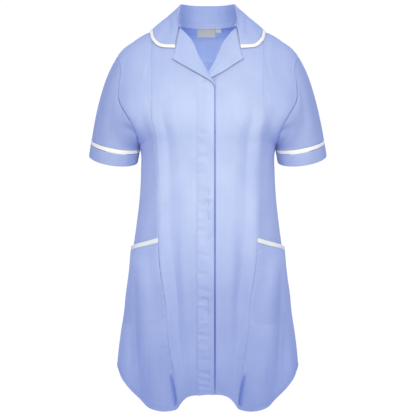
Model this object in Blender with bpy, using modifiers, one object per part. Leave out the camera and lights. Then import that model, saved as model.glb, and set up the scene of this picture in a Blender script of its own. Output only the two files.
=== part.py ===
# A short-sleeved maternity tunic, filled out as if worn, with nobody in it.
# The front faces -Y and +Z is up. Right and left are the wearer's: right is at -X.
# The origin lies midway between the tops of the shoulders, where the garment is held up.
# Lengths below are millimetres and become metres when a mesh is made.

import math
from collections import namedtuple

import bmesh
import bpy
import numpy as np
from mathutils import Vector

METRE = 1000.0
RIGHT = -1
LEFT = 1

# Cloth and seams
CLOTH = 1.5
SEAM_GAP = 0.3
HALF_GAP = SEAM_GAP / 2
SIDE_HALF_GAP = 0.2
PRINCESS_HALF_GAP = 0.25
LABEL_CLOTH = 1.0
LAYER = CLOTH + 4 * SEAM_GAP
COLLAR_LIFT = 2.6
BISECTIONS = 40
MERGE_DISTANCE = 1e-6

# Torso sections from neck to hem: half width, and depth before and behind the side line.
# Above the armpit the section runs on into the sleeve, and the armhole is cut out of it.
FRONT_POWER = 2.5
BACK_POWER = 2.3
Section = namedtuple("Section", "z half_width front back")
SECTIONS = [
    Section(16, 60, 38, 59),
    Section(12, 74, 45, 63),
    Section(7.5, 90, 51, 68),
    Section(2, 107, 56, 73),
    Section(-3, 124, 61, 78),
    Section(-9, 136.5, 65, 82),
    Section(-21.5, 155.5, 73, 89),
    Section(-34, 173.5, 80, 95),
    Section(-50, 186.5, 88, 102),
    Section(-68, 194, 97, 108),
    Section(-88, 198.5, 107, 113),
    Section(-120, 202, 121, 118),
    Section(-151, 198, 136, 120),
    Section(-172, 186, 144, 120),
    Section(-193, 170, 149, 119),
    Section(-208, 157, 150, 117),
    Section(-225, 145, 149, 115),
    Section(-246, 140.5, 148, 112),
    Section(-288, 140, 148, 108),
    Section(-351, 143, 156, 106),
    Section(-414, 150.5, 166, 110),
    Section(-456, 156.5, 170, 113),
    Section(-498, 161.5, 170, 118),
    Section(-561, 171.5, 163, 125),
    Section(-626, 182.5, 156, 133),
    Section(-695, 190.5, 152, 140),
    Section(-770, 192.5, 149, 146),
]

# Armhole, an egg seen from the side: its half breadth before and behind the side line
SHOULDER_Z = -51.0
ARMPIT_Z = -232.0
ARMHOLE_ROWS = 14
Armhole = namedtuple("Armhole", "z front back")
ARMHOLE = [
    Armhole(-51, 84, 76),
    Armhole(-75, 78, 74),
    Armhole(-105, 70, 66),
    Armhole(-146, 73, 64),
    Armhole(-181, 92, 70),
    Armhole(-205, 101, 74),
    Armhole(-232, 98, 74),
]

# Hem height against distance from the middle: a lobe below each bust seam, raised at the sides
Hem = namedtuple("Hem", "x z")
FRONT_HEM = [
    Hem(0, -735),
    Hem(18, -736.5),
    Hem(33, -738),
    Hem(47.7, -744.5),
    Hem(58, -755),
    Hem(66.9, -766.5),
    Hem(77, -770.5),
    Hem(110, -768.5),
    Hem(130, -762),
    Hem(145, -751),
    Hem(159, -735),
    Hem(172, -717.5),
    Hem(184, -703.5),
    Hem(192.5, -697),
]
BACK_HEM = [
    Hem(0, -768),
    Hem(60, -765),
    Hem(110, -750),
    Hem(145, -728),
    Hem(172, -709),
    Hem(192.5, -697),
]

# Seams down the front, as distance from the middle
Seam = namedtuple("Seam", "z x")
PRINCESS = [
    Seam(2, 113.5),
    Seam(-34, 114.2),
    Seam(-118, 113.1),
    Seam(-183, 111.4),
    Seam(-203, 106.5),
    Seam(-228, 103.1),
    Seam(-264, 100.7),
    Seam(-336, 99.7),
    Seam(-424, 97.2),
    Seam(-474, 94.2),
    Seam(-504, 90.1),
    Seam(-544, 84.6),
    Seam(-625, 80.1),
    Seam(-665, 74.9),
    Seam(-706, 68.5),
    Seam(-770, 60),
]
PLACKET_SEAM_X = -21.9
PLACKET_EDGE_X = 15.9
UNDERLAP_X = -18.0

# Roll of the right lapel from the shoulder down to the top of the placket's edge.
# The left one is its mirror image.
NECK_X = 60.0
NAPE_Z = 10.5
BREAK_Z = -117.4
ROLL = [
    Seam(16, -60),
    Seam(11, -59),
    Seam(6.5, -57.2),
    Seam(-4.1, -46.7),
    Seam(-17.2, -35),
    Seam(-55.5, -16.3),
    Seam(-86.2, 0.5),
    Seam(-96.2, 6.5),
    Seam(-106.3, 12.6),
    Seam(BREAK_Z, PLACKET_EDGE_X),
]

# The left front drops under the right one within these distances and heights
UNDER_FULL_X = 22.0
UNDER_NONE_X = 60.0
UNDER_TWO_Z = -124.0
UNDER_ONE_Z = -160.0

# Hanging folds: place at the top and at the hem, top height, half breadth, depth at the hem.
# A negative depth is a ridge. Angles are degrees round the body from the middle of the front.
Fold = namedtuple("Fold", "top_angle hem_angle top_z breadth depth")
FOLDS = [
    Fold(21, 17.5, -190, 5.5, 7.0),
    Fold(33, 28, -230, 7.5, -2.5),
    Fold(62, 43, -480, 7.5, 8.0),
    Fold(78, 60, -520, 7.5, -4.0),
    Fold(106, 108, -330, 9.0, 6.0),
    Fold(124, 126, -260, 9.0, -5.0),
    Fold(140, 146, -200, 8.0, 8.0),
    Fold(160, 166, -420, 8.0, 6.0),
]
HEM_MIDDLE_Z = -740.0
FOLD_GROWTH = 0.8

# Sleeve and cuff rings: centre, half breadth across and front to back, and height of the
# outer, inner and front points
Ring = namedtuple("Ring", "centre_x centre_y half_x half_y outer_z inner_z front_drop")
CUFF_TOP = Ring(194.2, -1, 48.2, 56, -224, -243, 9)
CUFF_BOTTOM = Ring(197.3, -1, 50.4, 59, -257.5, -272, 12)
CUFF_PIPING_SHARE = 0.23
SLEEVE_ROWS = 9
SLEEVE_GAP = 0.45
SLEEVE_FULLNESS = 0.78
# Direction in which the sleeve leaves the armpit, leaves the shoulder and enters the cuff,
# as outward and upward steps, and its step forward at the front of the armhole
LEAVE_ARMPIT = (0.25, -0.97)
LEAVE_SHOULDER = (0.62, -0.78)
ENTER_CUFF = (0.17, -1.0)
LEAVE_FORWARD = 0.25
CUFF_STEP = 1.0
PIPING_STEP = 0.4
INNER_STEP_SHARE = 0.3

# Half of the collar from the middle of the back to the front end.
# neck is the seam, roll the crest's inner side, edge the outer edge of the piping.
CollarRib = namedtuple("CollarRib", "neck roll edge")
COLLAR = [
    CollarRib((0, 64.5, 12.5), (0, 70, 58), (0, 87, -6)),
    CollarRib((21, 62, 12.5), (20, 68, 58), (38, 84, -6)),
    CollarRib((36, 54.5, 13.5), (36, 57, 58.5), (70, 76, -4)),
    CollarRib((47, 43, 14.5), (47, 40, 59), (95, 60, 0)),
    CollarRib((54, 26, 15.5), (52, 21, 58.5), (108.5, 31, 4)),
    CollarRib((57.3, 3, 16.5), (55, 3, 55), (113.5, 3, 4)),
    CollarRib((57.5, -13, 16), (57, -12, 47), (116.5, -20, 0)),
    CollarRib((57.2, -25, 15), (59, -24, 36), (117.5, -45, -9)),
    CollarRib((56.8, -34, 13.5), (60, -34, 26), (113, -64, -21)),
    CollarRib((55.4, -40.5, 12), (59.6, -43, 17), (97, -76, -34)),
    CollarRib((54, -46, 10), (59, -51.5, 10.5), (67, -82.5, -37)),
]
COLLAR_COLUMNS = 36
ROLL_RADIUS = 2.6
ROLL_RADIUS_SHARE = 0.45
STAND_ROWS = 2
ROLL_ROWS = 3
FALL_ROWS = 5
COLLAR_PIPING = 8.0
FALL_BULGE = 2.0
FALL_BULGE_RISE = 0.4
CLEARING_STEPS = 6
CLEARING_SLACK = 0.01

# Outer edge of the right lapel from the break to the gorge. share runs up the lapel.
Revers = namedtuple("Revers", "share x z")
LAPEL_EDGE = [
    Revers(0.0, 14.0, -115.6),
    Revers(0.12, 7.9, -107.6),
    Revers(0.24, -6.9, -98.1),
    Revers(0.44, -34.2, -82.6),
    Revers(0.62, -72.8, -60.1),
    Revers(0.70, -67.6, -50.0),
    Revers(0.78, -65.2, -38.5),
    Revers(1.0, -58.6, 1.5),
]
LAPEL_TOP_Z = 4.5
LAPEL_ROWS = 16
LAPEL_COLUMNS = 4
# Height of the lapel's outer face over the front at its roll, below and above its tip
LAPEL_SEAT_LOW = 1.95
LAPEL_SEAT_HIGH = 1.6
LAPEL_SEAT_EASE = 4

# Hip pockets: heights of the mouth at the princess seam and at the side seam
POCKET_MOUTH_FRONT_Z = -418.0
POCKET_MOUTH_SIDE_Z = -445.0
POCKET_PIPING = 9.0
POCKET_BOTTOM_Z = -606.0
POCKET_GAPE = 2.5
POCKET_GAPE_LENGTH = 70.0
POCKET_GAPE_SHARE = 0.8
POCKET_MOUTH_CURVE = 1.3

YOKE_ARMHOLE_ROW = 12
YOKE_ROW_EASE = 1.6
LABEL_BOX = (-22.8, 15.8, -9.5, 8.5)
TAB_BOX = (17.1, 29.2, 0.5, 9.3)
LABEL_SETBACK = 1.2
LABEL_COLUMNS = 4
LABEL_ROWS = 3

# Mesh density
SKIRT_ROWS = 18
FRONT_COLUMNS = 8
SIDE_COLUMNS = 9
PLACKET_COLUMNS = 3
BACK_COLUMNS = 18
YOKE_ROWS = 6
YOKE_SHOULDER_COLUMNS = 5
YOKE_NECK_COLUMNS = 8
POCKET_ROWS = 8

Finish = namedtuple("Finish", "name colour roughness")
POPLIN = Finish("sky_blue_poplin", (0.42, 0.52, 0.86, 1.0), 0.85)
PIPING = Finish("white_piping", (0.88, 0.89, 0.92, 1.0), 0.75)
LABEL = Finish("beige_label", (0.63, 0.57, 0.47, 1.0), 0.80)
TAB = Finish("cream_tab", (0.80, 0.77, 0.70, 1.0), 0.80)


def lerp(a, b, share):
    return a + (b - a) * share


def smooth_line(rows, key, column):
    """A smooth curve through the rows of a table, as a function of its key column."""
    ordered = sorted(rows, key=lambda row: getattr(row, key))
    keys = np.array([getattr(row, key) for row in ordered], float)
    values = np.array([getattr(row, column) for row in ordered], float)
    slopes = np.gradient(values, keys)

    def value(at):
        at = min(max(at, keys[0]), keys[-1])
        i = min(int(np.searchsorted(keys, at, side="right")) - 1, len(keys) - 2)
        step = keys[i + 1] - keys[i]
        t = (at - keys[i]) / step
        low = (2 * t**3 - 3 * t**2 + 1) * values[i] + (t**3 - 2 * t**2 + t) * step * slopes[i]
        high = (3 * t**2 - 2 * t**3) * values[i + 1] + (t**3 - t**2) * step * slopes[i + 1]
        return float(low + high)

    return value


def ramp(start, end, at):
    """0 at start, 1 at end, eased at both."""
    t = min(max((at - start) / (end - start), 0.0), 1.0)
    return t * t * (3 - 2 * t)


half_width = smooth_line(SECTIONS, "z", "half_width")
front_depth = smooth_line(SECTIONS, "z", "front")
back_depth = smooth_line(SECTIONS, "z", "back")
armhole_front = smooth_line(ARMHOLE, "z", "front")
armhole_back = smooth_line(ARMHOLE, "z", "back")
front_hem = smooth_line(FRONT_HEM, "x", "z")
back_hem = smooth_line(BACK_HEM, "x", "z")
princess_x = smooth_line(PRINCESS, "z", "x")
roll_x = smooth_line(ROLL, "z", "x")
lapel_edge_x = smooth_line(LAPEL_EDGE[:5], "share", "x")
lapel_edge_z = smooth_line(LAPEL_EDGE[:5], "share", "z")
gorge_edge_x = smooth_line(LAPEL_EDGE[4:], "share", "x")
gorge_edge_z = smooth_line(LAPEL_EDGE[4:], "share", "z")


def crossing(low, high, still_below):
    """The height between low and high at which still_below stops holding."""
    for _ in range(BISECTIONS):
        middle = (low + high) / 2
        if still_below(middle):
            low = middle
        else:
            high = middle
    return (low + high) / 2


def ridge_z(x):
    """Height of the shoulder seam at a distance from the middle."""
    return crossing(SHOULDER_Z, SECTIONS[0].z, lambda z: half_width(z) > abs(x))


def bare_point(angle, z):
    """Torso section without folds. The angle is in degrees, 0 in front and 90 at the left."""
    radians = math.radians(angle)
    power = FRONT_POWER if math.cos(radians) >= 0 else BACK_POWER
    depth = -front_depth(z) if math.cos(radians) >= 0 else back_depth(z)
    x = math.copysign(half_width(z) * abs(math.sin(radians)) ** (2 / power), math.sin(radians))
    return Vector((x, depth * abs(math.cos(radians)) ** (2 / power), z))


def fold_depth(angle, z):
    """How far the cloth hangs inside its plain section."""
    total = 0.0
    turn = abs((angle + 180) % 360 - 180)
    for fold in FOLDS:
        fall = (fold.top_z - z) / (fold.top_z - HEM_MIDDLE_Z)
        if fall <= 0:
            continue
        middle = lerp(fold.top_angle, fold.hem_angle, min(fall, 1.0))
        total += fold.depth * fall**FOLD_GROWTH * math.exp(-(((turn - middle) / fold.breadth) ** 2))
    return total


def body_point(angle, z, lift=0.0):
    """A point of the torso's outer face, or lifted off it along the face's own normal."""
    point = folded_point(angle, z)
    if lift:
        point += lift * body_normal(angle, z)
    return point


def folded_point(angle, z):
    turn = bare_point(angle + 1, z) - bare_point(angle - 1, z)
    outward = Vector((turn.y, -turn.x, 0)).normalized()
    return bare_point(angle, z) - outward * fold_depth(angle, z)


def body_normal(angle, z):
    across = folded_point(angle + 1, z) - folded_point(angle - 1, z)
    up = folded_point(angle, z + 1) - folded_point(angle, z - 1)
    return across.cross(up).normalized()


def angle_at(x, z, behind=False):
    """The angle of the section's point at x, before or behind the side line."""
    power = BACK_POWER if behind else FRONT_POWER
    reach = min(abs(x) / half_width(z), 1.0)
    angle = math.degrees(math.asin(reach ** (power / 2)))
    return math.copysign(180 - angle if behind else angle, x)


def armhole_angle(z, behind=False):
    """Where the armhole, or below it the side seam, lies on the left of the section."""
    if z <= ARMPIT_Z or z >= SHOULDER_Z:
        return 90.0
    half_height = (SHOULDER_Z - ARMPIT_Z) / 2
    rise = (z - ARMPIT_Z) / half_height - 1
    breadth = (armhole_back if behind else armhole_front)(z) * math.sqrt(1 - rise**2)
    depth = (back_depth if behind else front_depth)(z)
    power = BACK_POWER if behind else FRONT_POWER
    angle = math.degrees(math.acos(min(breadth / depth, 1.0) ** (power / 2)))
    return 180 - angle if behind else angle


def row_height(row, hem, top):
    """Height of a row of points: even below the armpit, crowded at both ends of the armhole."""
    if row <= SKIRT_ROWS:
        return lerp(hem, ARMPIT_Z, row / SKIRT_ROWS)
    share = (1 - math.cos(math.pi * (row - SKIRT_ROWS) / ARMHOLE_ROWS)) / 2
    return lerp(ARMPIT_Z, top, share)


def armhole_row_z(row):
    return row_height(SKIRT_ROWS + row, ARMPIT_Z, SHOULDER_Z)


def new_material(finish):
    material = bpy.data.materials.get(finish.name)
    if material is None:
        material = bpy.data.materials.new(finish.name)
        material.use_nodes = True
        shader = material.node_tree.nodes["Principled BSDF"]
        shader.inputs["Base Color"].default_value = finish.colour
        shader.inputs["Roughness"].default_value = finish.roughness
        shader.inputs["Metallic"].default_value = 0.0
    return material


def cloth(name, columns, rows, place, finish=POPLIN, closed=False, thickness=CLOTH):
    """One cut piece: a grid laid on place(column, row), with its wall on the inner side.
    Columns run anticlockwise seen from above and rows run up, so the faces point out."""
    mesh = bpy.data.meshes.new(name)
    grid = bmesh.new()
    bmesh.ops.create_grid(grid, x_segments=columns, y_segments=rows, size=0.5)
    for vertex in grid.verts:
        column = (vertex.co.x + 0.5) * columns
        row = (vertex.co.y + 0.5) * rows
        vertex.co = place(round(column), round(row)) / METRE
    if closed:
        bmesh.ops.remove_doubles(grid, verts=grid.verts, dist=MERGE_DISTANCE)
    grid.to_mesh(mesh)
    grid.free()
    mesh.shade_smooth()
    mesh.materials.append(new_material(finish))
    piece = bpy.data.objects.new(name, mesh)
    wall = piece.modifiers.new("Wall", "SOLIDIFY")
    wall.thickness = thickness / METRE
    wall.offset = -1.0
    tunic.objects.link(piece)
    return piece


def panel(edges, tops, hem, columns, lift=None, shift=0.0):
    """A front panel's place function. edges are two functions from height to angle, and tops
    the distances from the middle at which they reach the shoulder seam."""
    hem_angles = [edge(HEM_MIDDLE_Z) for edge in edges]
    hems = [hem(abs(bare_point(angle, HEM_MIDDLE_Z).x)) for angle in hem_angles]

    def place(column, row):
        share = column / columns
        angles = [
            edge(row_height(row, edge_hem, ridge_z(top)))
            for edge, edge_hem, top in zip(edges, hems, tops)
        ]
        hem_x = abs(bare_point(lerp(*hem_angles, share), HEM_MIDDLE_Z).x)
        z = row_height(row, hem(hem_x), ridge_z(lerp(*tops, share)))
        angle = lerp(*angles, share)
        raised = lift(bare_point(angle, z).x, z) if lift else 0.0
        return body_point(angle, z, raised) + Vector((0, shift, 0))

    return place


def princess_angle(side, gap):
    """The princess seam on one side, its gap towards the middle when negative."""
    return lambda z: side * angle_at(princess_x(z) + gap, z)


def side_angle(side):
    return lambda z: side * armhole_angle(z)


def right_inner_angle(z):
    return angle_at(min(PLACKET_SEAM_X - HALF_GAP, roll_x(z)), z)


def left_inner_angle(z):
    return angle_at(max(UNDERLAP_X, -roll_x(z)) if z > BREAK_Z else UNDERLAP_X, z)


def under_right(x, z):
    """How far the left front lies under the right one."""
    near = 1 - ramp(UNDER_FULL_X, UNDER_NONE_X, x)
    return -LAYER * (1 + ramp(UNDER_ONE_Z, UNDER_TWO_Z, z)) * near


def make_fronts():
    rows = SKIRT_ROWS + ARMHOLE_ROWS
    right_edges = (princess_angle(RIGHT, -PRINCESS_HALF_GAP), right_inner_angle)
    right_tops = (-PRINCESS[0].x, -NECK_X)
    place = panel(right_edges, right_tops, front_hem, FRONT_COLUMNS, shift=-SIDE_HALF_GAP)
    cloth("front_right", FRONT_COLUMNS, rows, place)
    left_edges = (left_inner_angle, princess_angle(LEFT, -PRINCESS_HALF_GAP))
    left_tops = (NECK_X, PRINCESS[0].x)
    place = panel(left_edges, left_tops, front_hem, FRONT_COLUMNS, under_right, -SIDE_HALF_GAP)
    cloth("front_left", FRONT_COLUMNS, rows, place)
    side_tops = (half_width(SHOULDER_Z), PRINCESS[0].x)
    right_edges = (side_angle(RIGHT), princess_angle(RIGHT, PRINCESS_HALF_GAP))
    place = panel(right_edges, [-x for x in side_tops], front_hem, SIDE_COLUMNS, shift=-SIDE_HALF_GAP)
    cloth("side_front_right", SIDE_COLUMNS, rows, place)
    left_edges = (princess_angle(LEFT, PRINCESS_HALF_GAP), side_angle(LEFT))
    place = panel(left_edges, side_tops[::-1], front_hem, SIDE_COLUMNS, shift=-SIDE_HALF_GAP)
    cloth("side_front_left", SIDE_COLUMNS, rows, place)


def make_placket():
    """The strip over the buttons. Its top is cut along the roll of the lapel."""

    def place(column, row):
        x = lerp(PLACKET_SEAM_X + HALF_GAP, PLACKET_EDGE_X, column / PLACKET_COLUMNS)
        top = crossing(BREAK_Z, SECTIONS[0].z, lambda z: roll_x(z) > x)
        z = lerp(front_hem(abs(x)), top, row / (SKIRT_ROWS + ARMHOLE_ROWS))
        return body_point(angle_at(x, z), z) + Vector((0, -HALF_GAP, 0))

    cloth("fly_placket", PLACKET_COLUMNS, SKIRT_ROWS + ARMHOLE_ROWS, place)


def back_angle(column, columns, z):
    edge = armhole_angle(z, behind=True)
    return lerp(edge, 360 - edge, column / columns)


def make_back():
    def place(column, row):
        hem_angle = back_angle(column, BACK_COLUMNS, HEM_MIDDLE_Z)
        hem = back_hem(abs(bare_point(hem_angle, HEM_MIDDLE_Z).x))
        z = row_height(row, hem, SHOULDER_Z)
        gap = Vector((0, SIDE_HALF_GAP, 0))
        if row == SKIRT_ROWS + YOKE_ARMHOLE_ROW:
            gap.z = -HALF_GAP
        return body_point(back_angle(column, BACK_COLUMNS, z), z) + gap

    cloth("back", BACK_COLUMNS, SKIRT_ROWS + YOKE_ARMHOLE_ROW, place)


def neckline_z(x):
    """Height of the back neck seam at a distance from the middle."""
    return NAPE_Z + (ridge_z(NECK_X) - NAPE_Z) * (x / NECK_X) ** 2


def back_surface(x, z):
    return body_point(angle_at(x, z, behind=True), z)


def make_yoke():
    columns = 2 * YOKE_SHOULDER_COLUMNS + YOKE_NECK_COLUMNS
    seam_z = armhole_row_z(YOKE_ARMHOLE_ROW)

    def top_x(column):
        if column < YOKE_SHOULDER_COLUMNS:
            return lerp(half_width(SHOULDER_Z), NECK_X, column / YOKE_SHOULDER_COLUMNS)
        if column > columns - YOKE_SHOULDER_COLUMNS:
            return -top_x(columns - column)
        return NECK_X * math.cos(math.pi * (column - YOKE_SHOULDER_COLUMNS) / YOKE_NECK_COLUMNS)

    def place(column, row):
        share = row / YOKE_ROWS
        gap = Vector((0, HALF_GAP, HALF_GAP if row == 0 else 0))
        if column in (0, columns):
            z = armhole_row_z(lerp(YOKE_ARMHOLE_ROW, ARMHOLE_ROWS, share))
            angle = armhole_angle(z, behind=True)
            return body_point(angle if column == 0 else 360 - angle, z) + gap
        low_x = bare_point(back_angle(column, columns, seam_z), seam_z).x
        x = lerp(low_x, top_x(column), share)
        on_shoulder = abs(top_x(column)) >= NECK_X
        high_z = ridge_z(top_x(column)) if on_shoulder else neckline_z(abs(top_x(column)))
        z = lerp(seam_z, high_z, 1 - (1 - share) ** YOKE_ROW_EASE)
        return back_surface(x, z) + gap

    cloth("back_yoke", columns, YOKE_ROWS, place)


def armhole_loop(side, column):
    """Point of the armhole's edge. Columns run from the armpit over the front to the shoulder
    and down the back."""
    behind = column > ARMHOLE_ROWS
    z = armhole_row_z(2 * ARMHOLE_ROWS - column if behind else column)
    point = body_point(armhole_angle(z, behind), z)
    return Vector((side * point.x, point.y, z))


def ring_point(ring, side, column):
    turn = math.pi * column / ARMHOLE_ROWS
    outward = -math.cos(turn)
    x = ring.centre_x + ring.half_x * outward
    y = ring.centre_y - ring.half_y * math.sin(turn)
    z = lerp(ring.inner_z, ring.outer_z, (outward + 1) / 2) - ring.front_drop * math.sin(turn)
    return Vector((side * x, y, z))


def sleeve_point(side, column, share):
    """A sleeve's outer face, from the armhole at share 0 to the cuff at share 1."""
    turn = math.pi * column / ARMHOLE_ROWS
    top = (1 - math.cos(turn)) / 2
    start = armhole_loop(side, column)
    end = ring_point(CUFF_TOP, side, column)
    reach = SLEEVE_FULLNESS * (end - start).length
    outward, upward = (lerp(low, high, top) for low, high in zip(LEAVE_ARMPIT, LEAVE_SHOULDER))
    leave = Vector((side * outward, -LEAVE_FORWARD * math.sin(turn), upward))
    arrive = Vector((side * ENTER_CUFF[0] * top, 0, ENTER_CUFF[1]))
    t = share
    point = start * (2 * t**3 - 3 * t**2 + 1) + end * (3 * t**2 - 2 * t**3)
    point += leave.normalized() * reach * (t**3 - 2 * t**2 + t)
    return point + arrive.normalized() * reach * (t**3 - t**2)


def make_sleeve(side, name):
    columns = 2 * ARMHOLE_ROWS

    def turned(column):
        """Columns run anticlockwise on either side."""
        return column if side == LEFT else columns - column

    def sleeve_place(column, row):
        column = turned(column) % columns
        gap = Vector((side * SLEEVE_GAP, 0, -SEAM_GAP if column == 0 else 0))
        share = row / SLEEVE_ROWS
        return sleeve_point(side, column, share) + lerp(gap, Vector((0, 0, SEAM_GAP)), share)

    def band(low, high, step):
        def place(column, row):
            column = turned(column) % columns
            share = high if row else low
            upper = ring_point(CUFF_TOP, side, column)
            lower = ring_point(CUFF_BOTTOM, side, column)
            point = lerp(upper, lower, share)
            centre_x = lerp(CUFF_TOP.centre_x, CUFF_BOTTOM.centre_x, share)
            outward = Vector((point.x - side * centre_x, point.y, 0)).normalized()
            if outward.x * side < 0:
                outward.x *= INNER_STEP_SHARE
            return point + outward * step

        return place

    length = (ring_point(CUFF_TOP, side, 0) - ring_point(CUFF_BOTTOM, side, 0)).length
    gap = HALF_GAP / length
    cloth("sleeve_" + name, columns, SLEEVE_ROWS, flipped(sleeve_place, SLEEVE_ROWS), closed=True)
    piping = band(CUFF_PIPING_SHARE - gap, gap, PIPING_STEP)
    cloth("cuff_piping_" + name, columns, 1, piping, PIPING, closed=True)
    cuff = band(1.0, CUFF_PIPING_SHARE + gap, CUFF_STEP)
    cloth("cuff_" + name, columns, 1, cuff, closed=True)


def flipped(place, rows):
    """The same place function with its rows counted from the other end."""
    return lambda column, row: place(column, rows - row)


def clear_of_body(point, lift):
    """The point, moved out until it lies at least lift off the torso's section."""

    def measure(p):
        z = min(max(p.z, SECTIONS[-1].z), SECTIONS[0].z)
        depth = front_depth(z) if p.y < 0 else back_depth(z)
        power = FRONT_POWER if p.y < 0 else BACK_POWER
        return (abs(p.x) / half_width(z)) ** power + (abs(p.y) / depth) ** power - 1

    for _ in range(CLEARING_STEPS):
        if point.z > SECTIONS[0].z + lift:
            break
        here = measure(point)
        steps = [Vector((1, 0, 0)), Vector((0, 1, 0)), Vector((0, 0, 1))]
        slope = Vector([measure(point + step) - measure(point - step) for step in steps]) / 2
        away = here / slope.length
        if away >= lift - CLEARING_SLACK:
            break
        point = point + slope.normalized() * (lift - away)
    return point


def rib_lines():
    """The collar's table as smooth curves of the distance along it."""
    lines = {}
    Sample = namedtuple("Sample", "at value")
    for field in CollarRib._fields:
        for axis in range(3):
            samples = [Sample(i, getattr(rib, field)[axis]) for i, rib in enumerate(COLLAR)]
            lines[field, axis] = smooth_line(samples, "at", "value")
    return lines


def make_collar():
    lines = rib_lines()
    last = len(COLLAR) - 1
    rows = STAND_ROWS + ROLL_ROWS + FALL_ROWS

    def rib_point(field, side, at):
        x, y, z = (lines[field, axis](at) for axis in range(3))
        return Vector((side * x, y, z))

    def section(column):
        """Neck seam to piping edge at one column, from the right end round the back."""
        along = 2 * column / COLLAR_COLUMNS - 1
        side = LEFT if along > 0 else RIGHT
        at = abs(along) * last
        neck = rib_point("neck", side, at)
        roll = rib_point("roll", side, at)
        edge = clear_of_body(rib_point("edge", side, at), COLLAR_LIFT)
        out = Vector((edge.x - roll.x, edge.y - roll.y, 0)).normalized()
        radius = min(ROLL_RADIUS, (roll - neck).length * ROLL_RADIUS_SHARE)
        start = roll - Vector((0, 0, radius))
        points = [lerp(neck, start, i / STAND_ROWS) for i in range(STAND_ROWS)]
        middle = start + out * radius
        for i in range(ROLL_ROWS):
            turn = math.pi * (1 - i / ROLL_ROWS)
            points.append(middle + radius * Vector((0, 0, math.sin(turn))) + radius * out * math.cos(turn))
        fall = middle + out * radius
        length = (edge - fall).length
        for i in range(FALL_ROWS + 1):
            share = (1 - COLLAR_PIPING / length) * i / FALL_ROWS
            points.append(fall_point(fall, edge, out, share))
        points.append(edge)
        return points

    def fall_point(fall, edge, out, share):
        point = lerp(fall, edge, share)
        point += (out + Vector((0, 0, FALL_BULGE_RISE))) * FALL_BULGE * math.sin(math.pi * share) * share
        return clear_of_body(point, COLLAR_LIFT)

    sections = [section(column) for column in range(COLLAR_COLUMNS + 1)]

    def collar_place(column, row):
        return sections[COLLAR_COLUMNS - column][rows - row]

    def piping_place(column, row):
        inner, outer = sections[COLLAR_COLUMNS - column][-2:]
        return outer if row == 0 else inner + (outer - inner).normalized() * SEAM_GAP

    cloth("collar", COLLAR_COLUMNS, rows, collar_place)
    cloth("collar_piping", COLLAR_COLUMNS, 1, piping_place, PIPING)


def make_lapel(side, name):
    tip_share = LAPEL_EDGE[4].share

    def lifted(x, z, seat):
        under = under_right(x, z) if side == LEFT else 0.0
        return body_point(angle_at(x, z), z, seat + under) + Vector((0, -HALF_GAP, 0))

    def place(column, row):
        share = row / LAPEL_ROWS
        below_tip = share <= tip_share
        outer_x = (lapel_edge_x if below_tip else gorge_edge_x)(share)
        outer_z = (lapel_edge_z if below_tip else gorge_edge_z)(share)
        inner_z = lerp(BREAK_Z, LAPEL_TOP_Z, share)
        across = column / LAPEL_COLUMNS
        x = lerp(outer_x, roll_x(inner_z), across)
        z = lerp(outer_z, inner_z, across)
        roll_seat = lerp(LAPEL_SEAT_LOW, LAPEL_SEAT_HIGH, ramp(tip_share, 1.0, share))
        seat = lerp(LAYER, roll_seat, across**LAPEL_SEAT_EASE)
        return lifted(-side * x, z, seat)

    if side == LEFT:
        cloth("lapel_" + name, LAPEL_COLUMNS, LAPEL_ROWS, lambda c, r: place(LAPEL_COLUMNS - c, r))
    else:
        cloth("lapel_" + name, LAPEL_COLUMNS, LAPEL_ROWS, place)


def make_pocket(side, name):
    """A patch from princess seam to side seam that stands a little open at its mouth."""

    def mouth_z(share):
        return lerp(POCKET_MOUTH_FRONT_Z, POCKET_MOUTH_SIDE_Z, share**POCKET_MOUTH_CURVE)

    def lifted(share, z, layer):
        angle = lerp(angle_at(princess_x(z) + HALF_GAP, z), 90.0, share)
        open_share = math.exp(-max(mouth_z(share) - z, 0) / POCKET_GAPE_LENGTH)
        lift = layer + POCKET_GAPE * open_share * ramp(0.0, POCKET_GAPE_SHARE, share)
        return body_point(side * angle, z, lift) + Vector((0, -HALF_GAP, 0))

    def share_at(column):
        return column / SIDE_COLUMNS if side == LEFT else 1 - column / SIDE_COLUMNS

    def pocket_place(column, row):
        share = share_at(column)
        top = mouth_z(share) - POCKET_PIPING - SEAM_GAP
        return lifted(share, lerp(POCKET_BOTTOM_Z, top, row / POCKET_ROWS), LAYER)

    def piping_place(column, row):
        share = share_at(column)
        return lifted(share, mouth_z(share) - (1 - row) * POCKET_PIPING, LAYER)

    cloth("pocket_" + name, SIDE_COLUMNS, POCKET_ROWS, pocket_place)
    cloth("pocket_piping_" + name, SIDE_COLUMNS, 1, piping_place, PIPING)


def make_label(name, box, finish):
    """A small woven label inside the back neck, facing forward."""
    left, right, low, high = box

    def place(column, row):
        x = lerp(left, right, column / LABEL_COLUMNS)
        z = lerp(low, high, row / LABEL_ROWS)
        angle = angle_at(x, z, behind=True) if abs(x) > SEAM_GAP else 180.0
        return body_point(angle, z, -(CLOTH + LABEL_SETBACK + LABEL_CLOTH))

    cloth(name, LABEL_COLUMNS, LABEL_ROWS, place, finish, thickness=LABEL_CLOTH)


for old in list(bpy.data.objects):
    bpy.data.objects.remove(old, do_unlink=True)
tunic = bpy.data.collections.new("maternity_tunic")
bpy.context.scene.collection.children.link(tunic)

make_fronts()
make_placket()
make_back()
make_yoke()
make_collar()
for side, name in ((RIGHT, "right"), (LEFT, "left")):
    make_sleeve(side, name)
    make_lapel(side, name)
    make_pocket(side, name)
make_label("neck_label", LABEL_BOX, LABEL)
make_label("size_tab", TAB_BOX, TAB)
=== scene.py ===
import math
import re
from collections import namedtuple
from functools import partial

import bmesh
import bpy
import numpy as np
from mathutils import Matrix, Vector


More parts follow.
